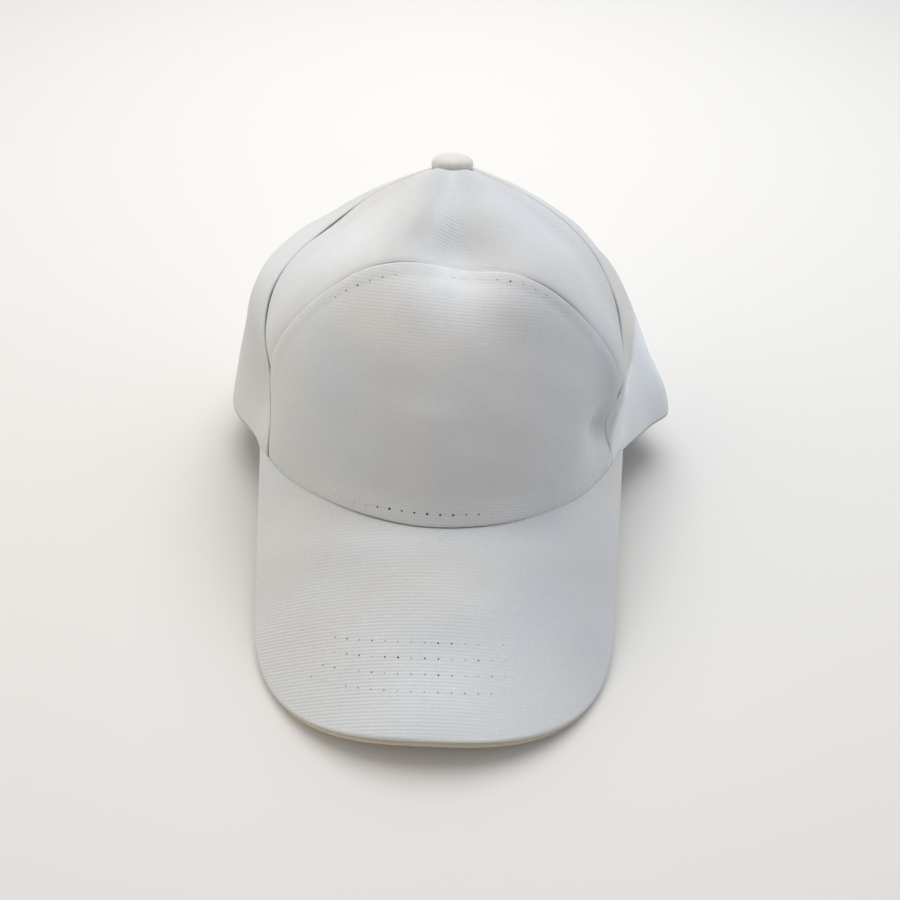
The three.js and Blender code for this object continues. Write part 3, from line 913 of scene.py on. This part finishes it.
# Upper cloth and body of the peak: ribs and unevenness on its upper face, which is rounded at the edge
def buildPeak():
    x, forward, edge, rows, ribs, fromSeam = peakGrid(
        peakCloth["columns"], peak["length"], 0, peakCloth["ribPitch"] / cloth["rowsPerRib"])
    groove = course(x, *peakCloth["seamDraw"]) * seamGroove(fromSeam)
    height = peakCloth["ribHeight"] * course(x, *peakCloth["ribsAcross"])
    smooth = smoothStep(x, *peakCloth["smoothAcross"]) * smoothStep(forward, *peakCloth["smoothForward"])
    height = height * course(forward, *peakCloth["ribsForward"]) * (1 - peakCloth["smooth"] * smooth)
    lift = ribRelief(ribs, peakCloth["ribPitch"], height, groove) + peakRelief(x, forward)
    lift = lift * smoothStep(edge, 0, peakCloth["edgeFade"])
    lift = lift - peakCloth["seamDrop"] * cloth["grooveDepth"] * groove
    upper = roundedFall(edge, peakCloth["edgeRound"]) - lift
    # the peak's tone values are painted light and shade
    addSheet("peak", peakPoint(x, forward, upper), peakPoint(x, forward, peak["thickness"]), rows,
             cloth["innerStep"], np.stack([x, ribs], -1), groove,
             peakPatches(x, forward, peakCloth["tones"]), "white_cloth", flip=True)


# Cloth under the peak: a plain sheet that runs a little past it, with both edges rounded
def buildUnderpeak():
    x, forward, edge, rows = peakGrid(
        underCloth["columns"], peak["underLength"], underCloth["jointDepth"], underCloth["rowStep"])[:4]
    upper = peak["thickness"] + underCloth["clearance"] + roundedFall(edge, underCloth["upperRound"])
    lower = peak["thickness"] + peak["sheetGap"] + peak["underThickness"]
    lower = lower - roundedFall(edge, underCloth["lowerRound"])
    addSheet("underpeak", peakPoint(x, forward, upper), peakPoint(x, forward, lower), rows, (1, 1),
             np.stack([x, forward], -1), 0 * x, 0 * x, "cream_cloth", flip=True)


# Rows of stitches: white thread between small needle holes
stitch = {
    "pitch": 5,
    "lift": 0.05,
    "threadRadius": 0.13,
    "ringSides": 6,
    "rings": 7,
    # the thread's rise over the cloth and its thickness are powers of a half sine wave
    "rise": 0.6,
    "risePower": 0.6,
    "sink": 0.2,
    "endShare": 0.25,
    "endPower": 0.4,
    # a hole is a cup of rings, each with its share of the radius and its height; some holes are small
    "holeRadius": 0.42,
    "leastHole": 0.45,
    "cupSides": 10,
    "cup": np.array([[1, -0.06], [0.7, 0.03], [0.25, 0]]),
    # rows on the peak: forward place at the middle, half width and corner start of each curve
    "peakRows": [(43.4, 68, 15), (49.2, 67, 17), (55.0, 66, 19), (61.2, 65, 21)],
    "rowPower": 3.2,
    "rowInset": 2.5,
    # how much the holes show: middles of the flat bells, their half width, and the least and most share
    "peakShown": ([-10], 38, 0.2, 1),
    "brimShown": ([-6], 26, 0.25, 1.4),
    "archShown": ([-31, 29], 14, 0.2, 1),
    # the row over the brim: its span, level in the middle, drop to the sides over a width at a level, least
    "brimRow": {"span": 0.88, "level": 0.034, "drop": 0.024, "width": 45, "widthAt": 0.03, "least": 0.008},
    # the row under the arch: its span, distance from the seam, how much nearer it is on the right
    "archRow": {"span": 0.9, "away": 6.4, "nearer": 1.5, "turn": 3},
}


# Forward place of a peak row at x: the same kind of superellipse as the free edge
def stitchRowForward(x, row):
    middle, width, start = row
    corner = (1 - np.clip(np.abs(x) / width, 0, 1) ** stitch["rowPower"]) ** (1 / stitch["rowPower"])
    return start + (middle - start) * corner


# Values of a finely sampled path at places every pitch along its running length
def everyPitch(path, *arrays):
    run = np.concatenate([[0], np.cumsum(np.linalg.norm(np.diff(path, axis=0), axis=1))])
    at, index = np.arange(0, run[-1], stitch["pitch"]), np.arange(len(path))
    places = np.interp(at, run, index)
    return [np.stack([np.interp(places, index, column) for column in array.T], -1) for array in arrays]


# Threads: capsules that rise out of one hole and dive into the next, along lines between the holes
def addThreads(name, hole, up):
    count, rings, sides = len(hole) - 1, stitch["rings"], stitch["ringSides"]
    t = np.linspace(0, 1, rings)[None, :, None]
    along = hole[:-1, None] * (1 - t) + hole[1:, None] * t
    lift = up[:-1, None] * (1 - t) + up[1:, None] * t
    run = hole[1:] - hole[:-1]
    run = run / np.linalg.norm(run, axis=1, keepdims=True)
    side = np.cross(run, up[:-1])[:, None, None]
    wave = np.sin(math.pi * t)
    rise = stitch["threadRadius"] * stitch["rise"] * wave ** stitch["risePower"] - stitch["sink"]
    centre = (along + lift * rise)[:, :, None]
    thick = stitch["endShare"] + (1 - stitch["endShare"]) * wave ** stitch["endPower"]
    angle = np.linspace(0, 2 * math.pi, sides, endpoint=False)[None, None, :, None]
    ring = np.cos(angle) * side + np.sin(angle) * lift[:, :, None]
    tube = centre + stitch["threadRadius"] * thick[..., None] * ring
    index = numbered(count, rings, sides)
    faces = np.concatenate([gridTriangles(index), fanTriangles(index[:, 0, :-1], True),
                            fanTriangles(index[:, -1, :-1])])
    uv = np.repeat(np.arange(tube.size // 3)[:, None] * 0.1, 2, 1)
    addPiece(name, tube, faces, uv, "white_cloth", finish="thread")


# Holes: shallow cups, rings round a sunk middle, their sizes drawn at random, in a near-black finish that is
# painted shade inside each needle hole
def addHoles(name, hole, up, shown, seed):
    least, sides, rings = stitch["leastHole"], stitch["cupSides"], len(stitch["cup"])
    drawn = np.random.default_rng(seed).random(len(hole))
    size = stitch["holeRadius"] * (least + (1 - least) * drawn) * shown
    across = np.cross(up, np.roll(up, 1, 1))
    across = across / np.linalg.norm(across, axis=1, keepdims=True)
    forth = np.cross(up, across)
    turn = np.linspace(0, 2 * math.pi, sides, endpoint=False)[None, None, :, None]
    reach, sink = (column[None, :, None, None] for column in stitch["cup"].T)
    ring = np.cos(turn) * across[:, None, None] + np.sin(turn) * forth[:, None, None]
    cups = hole[:, None, None] + reach * size[:, None, None, None] * ring + sink * up[:, None, None]
    index = numbered(len(hole), rings, sides)
    faces = np.concatenate([gridTriangles(index), fanTriangles(index[:, -1, :-1])])
    addPiece(name, cups, faces, cups[..., :2], "white_cloth", finish="needle_hole_shade")


# A row of stitches along a path: flat bells of x say how much its holes show
def addStitches(name, path, normals, middles, spread, least, most, seed):
    hole, up = everyPitch(path, path, normals)
    hole = hole + up * stitch["lift"]
    shown = least + (most - least) * sum(bell(hole[:, 0], middle, spread, 4) for middle in middles)
    addThreads(name + "_thread", hole, up)
    addHoles(name + "_holes", hole, up, shown, seed)


# A row of stitches on the front panel at a level for each share of its width
def addCrownRow(name, share, level, shown, seed):
    azimuth, relief = frontRelief(share, level)[:2]
    point, normal = crownFrame(azimuth, level, allFolds)
    addStitches(name, point + normal * relief[:, None], normal, *shown, seed)


# Four rows on the peak, one on the front panel over the brim and one under the arch seam
def buildStitches():
    for number, row in enumerate(stitch["peakRows"]):
        end = row[1] - stitch["rowInset"]
        x = np.linspace(-end, end, 600)
        forward = stitchRowForward(x, row)
        tilt = x / peak["bendRadius"]
        normals = np.stack([tilt, -peakSin + 0 * x, peakCos + 0 * x], -1) / np.hypot(1, tilt)[:, None]
        path = peakPoint(x, forward, 0.02 - peakRelief(x, forward))
        addStitches(f"peak_row_{number + 1}", path, normals, *stitch["peakShown"], 20 + number)
    brim, arch = stitch["brimRow"], stitch["archRow"]
    share = np.linspace(-brim["span"], brim["span"], 700)
    across = acrossCloth(frontAzimuth(share, brim["widthAt"]))
    level = np.clip(brim["level"] - brim["drop"] * (across / brim["width"]) ** 2, brim["least"], 1)
    addCrownRow("brim_seam_row", share, level, stitch["brimShown"], 30)
    share = np.linspace(-arch["span"], arch["span"], 900)
    away = arch["away"] - arch["nearer"] * np.tanh(arch["turn"] * share)
    level = archLevel(share) - away / clothHeight * archStretch(share)
    addCrownRow("arch_row", share, level, stitch["archShown"], 32)


# Sweatband inside the opening, and the tape that binds the rim behind the peak
band = {
    "columns": 240,
    "rows": 24,
    "gap": 0.8,
    "thickness": 1,
    "foot": 0.01,
    "height": 0.15,
    # it follows the crown's dents in wider and deeper ones
    "spread": 1.12,
    "depth": 1.06,
    "edgeRound": 0.45,
    # the soft swelling of its inner face: height, stretch up the band, size and seed
    "pillow": (0.12, 60, 22, 41),
}
tape = {
    "columns": 300,
    "sides": 10,
    "azimuths": (60.5, 299.5),
    "levels": (0.003, 0.012),
    "inset": 0.75,
    "thickness": 0.5,
    "height": 0.9,
    "drop": 0.5,
}


# Ring of cloth inside the opening that follows the crown's inner face in rounder folds
def buildSweatband():
    folds = [(az, lv, across * band["spread"], along * band["spread"], turn, depth * band["depth"])
             for az, lv, across, along, turn, depth in crown["folds"] if depth < 0]
    height = np.linspace(0, 1, band["rows"] + 1)[:, None]
    azimuth = np.linspace(-180, 180, band["columns"], endpoint=False)[None, :] + 0 * height
    point, normal = crownFrame(azimuth, rimLevel(azimuth) + band["foot"] + height * band["height"], folds)
    wide = band["height"] * clothHeight
    squeeze = roundedFall(np.minimum(height, 1 - height) * wide, band["edgeRound"])[..., None]
    near = cloth["thickness"] + band["gap"]
    swell, stretch, size, seed = band["pillow"]
    pillow = swell * np.sin(math.pi * height) * softNoise(azimuth, stretch * height, size, seed)
    outer = point - normal * (near + squeeze)
    inner = point - normal * (near + band["thickness"] - squeeze + pillow[..., None])
    loop = np.concatenate([outer, inner[::-1]])
    uv = np.stack([acrossCloth(azimuth), height * wide + 0 * azimuth], -1)
    triangles = gridTriangles(numbered(*loop.shape[:2], closed=(0, 1)))
    addPiece("sweatband", loop, triangles, np.concatenate([uv, uv[::-1]]), "band_cloth", "sweatband")


# Tape that binds the rim behind the peak: an ellipse carried along the rim, closed at both ends
def buildRimTape():
    columns, sides = tape["columns"], tape["sides"]
    turn = np.linspace(0, 2 * math.pi, sides, endpoint=False)[None, :]
    azimuth = np.linspace(*tape["azimuths"], columns)[:, None] + 0 * turn
    level, aheadLevel = (at + 0 * azimuth for at in tape["levels"])
    point, normal = crownFrame(azimuth, level, allFolds)
    ahead = crownPoint(azimuth, aheadLevel, allFolds)
    upward = (ahead - point) / np.linalg.norm(ahead - point, axis=-1, keepdims=True)
    inward = tape["inset"] + tape["thickness"] * np.cos(turn)
    raised = tape["height"] * np.sin(turn) - tape["drop"]
    ring = point - normal * inward[..., None] + upward * raised[..., None]
    index = numbered(columns, sides)
    triangles = np.concatenate([gridTriangles(index), fanTriangles(index[0, :-1], True),
                                fanTriangles(index[-1, :-1])])
    uv = np.stack([acrossCloth(azimuth), 3 * turn + 0 * azimuth], -1)
    addPiece("rim_tape", ring, triangles, uv, "band_cloth")


# Button covered in cloth: the profile made smooth, spun, with shallow gathers towards its rim
def buildButton():
    stem, cover = button["profile"][:2], button["profile"][2:]
    run = np.concatenate([[0], np.cumsum(np.hypot(*np.diff(cover, axis=0).T))])
    at = np.linspace(0, run[-1], button["points"])
    smooth = np.stack([np.interp(at, run, column) for column in cover.T], -1)
    for _ in range(button["rounds"]):
        smooth[1:-1] = 0.25 * smooth[:-2] + 0.5 * smooth[1:-1] + 0.25 * smooth[2:]
    smooth = np.concatenate([stem, smooth])
    smooth[-1, 0] = 0
    columns, (drift, drifts) = button["columns"], button["gatherDrift"]
    angles = np.linspace(0, 2 * math.pi, columns, endpoint=False)
    gather = button["gather"] * np.sin(button["gathers"] * angles + drift * np.sin(drifts * angles))
    gather = gather * smoothStep(smooth[:, None, 0], *button["gatherFrom"])
    points = turnAboutX(spin(smooth, angles) * (1 + gather / button["radius"])[..., None], -button["lean"])
    points[..., 2] += crown["height"] - button["sink"]
    index = numbered(len(smooth), columns)
    index[0], index[-1] = 0, index[-1, 0]
    uv = spin(smooth, angles)[..., :2]
    addPiece("top_button", points, gridTriangles(index), uv, "button_cloth", "top_button")


# A new node group with named sockets: (name, kind, default) in and (name, kind) out
def newGroup(name, inputs, outputs):
    group = bpy.data.node_groups.new(name, "ShaderNodeTree")
    for label, kind, default in inputs:
        socket = group.interface.new_socket(label, in_out="INPUT", socket_type="NodeSocket" + kind)
        if default is not None:
            socket.default_value = default
    for label, kind in outputs:
        group.interface.new_socket(label, in_out="OUTPUT", socket_type="NodeSocket" + kind)
    return group, group.nodes.new("NodeGroupInput").outputs, group.nodes.new("NodeGroupOutput").inputs


# A node with its settings, its input values and its links in one call
def addNode(tree, kind, values=None, **settings):
    node = tree.nodes.new("ShaderNode" + kind)
    for key, value in settings.items():
        setattr(node, key, value)
    for key, value in (values or {}).items():
        if isinstance(value, bpy.types.NodeSocket):
            tree.links.new(value, node.inputs[key])
        else:
            node.inputs[key].default_value = value
    return node


# Result of a Math node on numbers or other results
def addMath(tree, operation, *values):
    return addNode(tree, "Math", dict(enumerate(values)), operation=operation).outputs[0]


# Result of a Map Range node, to 0..1 unless it is told another range
def addRange(tree, value, low, high, toLow=0.0, toHigh=1.0):
    return addNode(tree, "MapRange", {"Value": value, "From Min": low, "From Max": high,
                                      "To Min": toLow, "To Max": toHigh}).outputs[0]


# Result of a Mix node on two colours
def addMix(tree, share, first, second, blend="MIX"):
    values = {0: share, 6: first, 7: second}
    return addNode(tree, "Mix", values, data_type="RGBA", blend_type=blend).outputs[2]


# Plain weave: sin(u) sin(v) of crossing threads, and rib shade: a cosine across the ribs that the tone group
# uses for painted shade in their hollows
def makeWeaveGroup():
    group, given, out = newGroup(
        "clothWeave",
        [("Cloth", "Vector", None), ("Thread", "Float", 0.4), ("Rib", "Float", 1.8)],
        [("Height", "Float"), ("Rib Shade", "Float")],
    )
    split = addNode(group, "SeparateXYZ", {0: given["Cloth"]}).outputs
    turns = addMath(group, "DIVIDE", 2 * math.pi, given["Thread"])
    waves = [addMath(group, "SINE", addMath(group, "MULTIPLY", split[k], turns)) for k in (0, 1)]
    weave = addMath(group, "MULTIPLY", *waves)
    slub = addNode(group, "TexNoise", {"Vector": given["Cloth"], "Scale": 0.9, "Detail": 3.0})
    uneven = addMath(group, "MULTIPLY", slub.outputs["Fac"], 1.4)
    group.links.new(addMath(group, "ADD", weave, uneven), out["Height"])
    phase = addMath(group, "DIVIDE", addMath(group, "MULTIPLY", split[1], 2 * math.pi), given["Rib"])
    shade = addMath(group, "MULTIPLY_ADD", addMath(group, "COSINE", phase), 0.5, 0.5)
    group.links.new(shade, out["Rib Shade"])
    return group


# Tone: broad warm and cool clouds over a base colour, painted light and shade in patches, the lighter of them
# also cooler, fine specks of lint, painted shade in the rib hollows, and painted shade from the groove value
# in seams and round the button
tone = {
    "cloudScales": (17.0, 23.0),
    "cloudSeeds": (2.7, 8.1),
    "cloudFrom": (0.5, 0.72),
    "coolestTone": 0.4,
    "lintScale": 900.0,
    "lint": (0.3, 0.7, 0.965, 1.02),
    # how much the groove value darkens the colour as painted shade in seams and hollows; darkest is the least
    # it leaves
    "paintedShade": 0.6,
    "darkest": 0.08,
}


# The tone group, from the values above
def makeToneGroup():
    group, given, out = newGroup(
        "clothTone",
        [("Place", "Vector", None), ("Base", "Color", (0.8, 0.8, 0.8, 1)),
         ("Warm", "Color", (0.8, 0.75, 0.7, 1)), ("Cool", "Color", (0.7, 0.75, 0.8, 1)),
         ("Clouds", "Float", 0.5), ("Groove", "Float", 0.0),
         ("Tone", "Float", 0.0), ("Rib Shade", "Float", 1.0), ("Rib Shade Strength", "Float", 0.05)],
        [("Color", "Color")],
    )
    masks = []
    for scale, seed in zip(tone["cloudScales"], tone["cloudSeeds"]):
        cloud = addNode(group, "TexNoise", {"Vector": given["Place"], "Scale": scale, "Detail": 2.0,
                                            "Roughness": 0.45}, noise_dimensions="4D")
        cloud.inputs["W"].default_value = seed
        spread = addRange(group, cloud.outputs["Fac"], *tone["cloudFrom"])
        masks.append(addMath(group, "MULTIPLY", spread, given["Clouds"]))
    # painted light: the lighter painted patches are also made cooler
    cooler = addMath(group, "MAXIMUM", masks[1], addRange(group, given["Tone"], 0.0, tone["coolestTone"]))
    warm = addMix(group, masks[0], given["Base"], given["Warm"])
    cool = addMix(group, cooler, warm, given["Cool"])
    fine = addNode(group, "TexNoise", {"Vector": given["Place"], "Scale": tone["lintScale"], "Detail": 2.0})
    lint = addRange(group, fine.outputs["Fac"], *tone["lint"])
    # painted shade: the colour darkens with the groove value, where shade falls in seams and hollows
    paintedShade = addMath(group, "MULTIPLY_ADD", given["Groove"], -tone["paintedShade"], 1.0)
    paintedShade = addMath(group, "MAXIMUM", paintedShade, tone["darkest"])
    # painted shade: the rib hollows are darkened
    hollow = addMath(group, "SUBTRACT", 1.0, given["Rib Shade"])
    ribs = addMath(group, "MULTIPLY_ADD", addMath(group, "MULTIPLY", hollow, given["Rib Shade Strength"]), -1.0, 1.0)
    # painted light and shade: the tone value and the painted shade of the grooves scale the colour
    paintedLightAndShade = addMath(group, "MULTIPLY", addMath(group, "ADD", given["Tone"], 1.0), paintedShade)
    shade = addMath(group, "MULTIPLY", addMath(group, "MULTIPLY", paintedLightAndShade, ribs), lint)
    group.links.new(addMix(group, 1.0, cool, shade, "MULTIPLY"), out["Color"])
    return group


# Each cloth's base, warm and cool colour, then its clouds, thread, rib, strength of the painted shade in the
# rib hollows, roughness and bump
clothFinishes = {
    "white_cloth": ((0.797, 0.805, 0.822), (0.82, 0.79, 0.74), (0.74, 0.79, 0.84),
                    0.75, 0.42, 1.3, 0.015, 0.82, 0.0001),
    "button_cloth": ((0.84, 0.82, 0.76), (0.84, 0.79, 0.68), (0.76, 0.78, 0.79),
                     0.7, 0.42, 1.3, 0.02, 0.85, 0.00012),
    "cream_cloth": ((0.80, 0.69, 0.55), (0.78, 0.62, 0.44), (0.76, 0.72, 0.62),
                    0.8, 0.6, 1.2, 0.06, 0.88, 0.00012),
    "band_cloth": ((0.66, 0.61, 0.53), (0.62, 0.54, 0.44), (0.64, 0.62, 0.58),
                   0.6, 0.7, 1.4, 0.10, 0.88, 0.00015),
    "thread": ((0.84, 0.84, 0.84), (0.84, 0.81, 0.77), (0.78, 0.81, 0.84),
               0.5, 0.5, 0.6, 0.10, 0.7, 0.00005),
    # near black: painted shade inside the needle holes
    "needle_hole_shade": ((0.055, 0.055, 0.06), (0.10, 0.09, 0.08), (0.03, 0.03, 0.035),
                    1.0, 0.5, 0.6, 0.0, 0.9, 0.00005),
}


# Cloth material: weave and tone from the groups, and everything that is constant set on the shader itself
def makeCloth(name, look, groups):
    *colours, clouds, thread, rib, ribShadeStrength, roughness, bumpHeight = look
    material = bpy.data.materials.new(name)
    material.use_nodes = True
    tree = material.node_tree
    tree.nodes.clear()
    weave = addNode(tree, "Group", node_tree=groups["weave"])
    tones = addNode(tree, "Group", node_tree=groups["tone"])
    links = [
        (addNode(tree, "UVMap", uv_map="cloth").outputs[0], weave, "Cloth"),
        (addNode(tree, "TexCoord").outputs["Object"], tones, "Place"),
        # groove carries painted shade, tone carries painted light and shade
        (addNode(tree, "Attribute", attribute_name="groove").outputs["Fac"], tones, "Groove"),
        (addNode(tree, "Attribute", attribute_name="tone").outputs["Fac"], tones, "Tone"),
        (weave.outputs["Rib Shade"], tones, "Rib Shade"),
    ]
    for source, node, socket in links:
        tree.links.new(source, node.inputs[socket])
    weave.inputs["Thread"].default_value, weave.inputs["Rib"].default_value = thread, rib
    tones.inputs["Clouds"].default_value, tones.inputs["Rib Shade Strength"].default_value = clouds, ribShadeStrength
    for socket, colour in zip(("Base", "Warm", "Cool"), colours):
        tones.inputs[socket].default_value = (*colour, 1)
    bump = addNode(tree, "Bump", {"Strength": 0.5, "Distance": bumpHeight, "Height": weave.outputs["Height"]})
    shader = addNode(tree, "BsdfPrincipled", {
        "Base Color": tones.outputs["Color"], "Normal": bump.outputs[0], "Roughness": roughness,
        "Sheen Weight": 0.12, "Sheen Roughness": 0.5, "Specular IOR Level": 0.25,
    })
    tree.links.new(shader.outputs[0], addNode(tree, "OutputMaterial").inputs[0])
    finishes[name] = material


# Both groups and every cloth material
def makeFinishes():
    groups = {"weave": makeWeaveGroup(), "tone": makeToneGroup()}
    for name, look in clothFinishes.items():
        makeCloth(name, look, groups)
    print("finishes made")


# Floor and light, in metres
studio = {
    "floorSize": 8,
    "floorColour": (0.88, 0.865, 0.845),
    "floorRoughness": 0.6,
    "floorShine": 0.2,
    "worldColour": (1, 0.95, 0.93),
    "worldStrength": 0.265,
    # name, place, aim, size, power, colour
    "lamps": [
        ("back_top", (0, 0.45, 0.85), (0, 0.1, 0), 0.9, 6.8, (0.97, 0.985, 1)),
        ("left_side", (-1.1, -0.1, 0.7), (0, 0, 0.05), 1.5, 5.05, (1, 0.945, 0.79)),
        ("right_side", (1.1, 0.2, 0.6), (0, 0, 0.05), 1.5, 3.9, (0.76, 0.89, 1)),
    ],
}

# Camera at the photograph's angle to the cap: target and distance in millimetres in the cap's frame,
# focal length in pixels of the photograph
camera = {
    "target": (3.79, -23.13, -9.63),
    "elevation": 33,
    "azimuth": -0.39,
    "distance": 419.9,
    "focal": 915.39,
    "roll": 2.43,
    "imageSize": 900,
    "sensor": 36,
    "clip": (0.01, 50),
}


# Placement from its three axes and its place
def placedMatrix(right, up, back, place):
    return Matrix([[right[k], up[k], back[k], place[k]] for k in range(3)] + [[0, 0, 0, 1]])


# Placement whose local Z points from aim back to place, upright about it
def aimedMatrix(place, aim):
    back = np.array(place) - np.array(aim)
    back = back / np.linalg.norm(back)
    right = np.cross((0, 0, 1), back)
    right = right / np.linalg.norm(right)
    return placedMatrix(right, np.cross(back, right), back, place)


# Pale floor, an even sky and three round lamps
def buildStudio():
    half = studio["floorSize"] / 2
    mesh = bpy.data.meshes.new("floor")
    corners = [(-half, -half, 0), (half, -half, 0), (half, half, 0), (-half, half, 0)]
    mesh.from_pydata(corners, [], [(0, 1, 2, 3)])
    floor = bpy.data.objects.new("floor", mesh)
    bpy.context.scene.collection.objects.link(floor)
    material = bpy.data.materials.new("floor_paper")
    material.use_nodes = True
    shader = material.node_tree.nodes["Principled BSDF"].inputs
    shader["Base Color"].default_value = (*studio["floorColour"], 1)
    shader["Roughness"].default_value = studio["floorRoughness"]
    shader["Specular IOR Level"].default_value = studio["floorShine"]
    mesh.materials.append(material)
    world = bpy.data.worlds.new("studio")
    world.use_nodes = True
    sky = world.node_tree.nodes["Background"].inputs
    sky[0].default_value, sky[1].default_value = (*studio["worldColour"], 1), studio["worldStrength"]
    bpy.context.scene.world = world
    for name, place, aim, size, power, colour in studio["lamps"]:
        lamp = bpy.data.lights.new(name, "AREA")
        lamp.shape = "DISK"
        lamp.size, lamp.energy, lamp.color = size, power, colour
        lampObject = bpy.data.objects.new(name, lamp)
        lampObject.matrix_world = aimedMatrix(place, aim)
        bpy.context.scene.collection.objects.link(lampObject)
    bpy.context.scene.view_settings.view_transform = "Standard"
    print("floor, sky and lamps set")


# Camera stood up with the cap, turned by its roll about the line of sight
def buildCamera():
    e, a, r = (math.radians(camera[key]) for key in ("elevation", "azimuth", "roll"))
    back = np.array([math.sin(a) * math.cos(e), -math.cos(a) * math.cos(e), math.sin(e)])
    right = np.array([math.cos(a), math.sin(a), 0])
    up = np.cross(back, right)
    right, up = right * math.cos(r) + up * math.sin(r), up * math.cos(r) - right * math.sin(r)
    place = toWorld(np.array(camera["target"]) + camera["distance"] * back, flatten=False)
    lens = bpy.data.cameras.new("camera")
    lens.sensor_width = camera["sensor"]
    lens.lens = camera["sensor"] * camera["focal"] / camera["imageSize"]
    lens.clip_start, lens.clip_end = camera["clip"]
    view = bpy.data.objects.new("camera", lens)
    axes = [turnAboutX(axis, -crown["restTilt"]) for axis in (right, up, back)]
    view.matrix_world = placedMatrix(*axes, place)
    bpy.context.scene.collection.objects.link(view)
    bpy.context.scene.camera = view
    print("camera set")


makeFinishes()
buildFrontPanel(frontPanel, frontRelief)
buildFrontPanel(upperPanel, upperRelief)
for row in gore["panels"]:
    buildGore(*row)
buildPeak()
buildUnderpeak()
buildSweatband()
buildRimTape()
buildButton()
buildStitches()
buildStudio()
buildCamera()
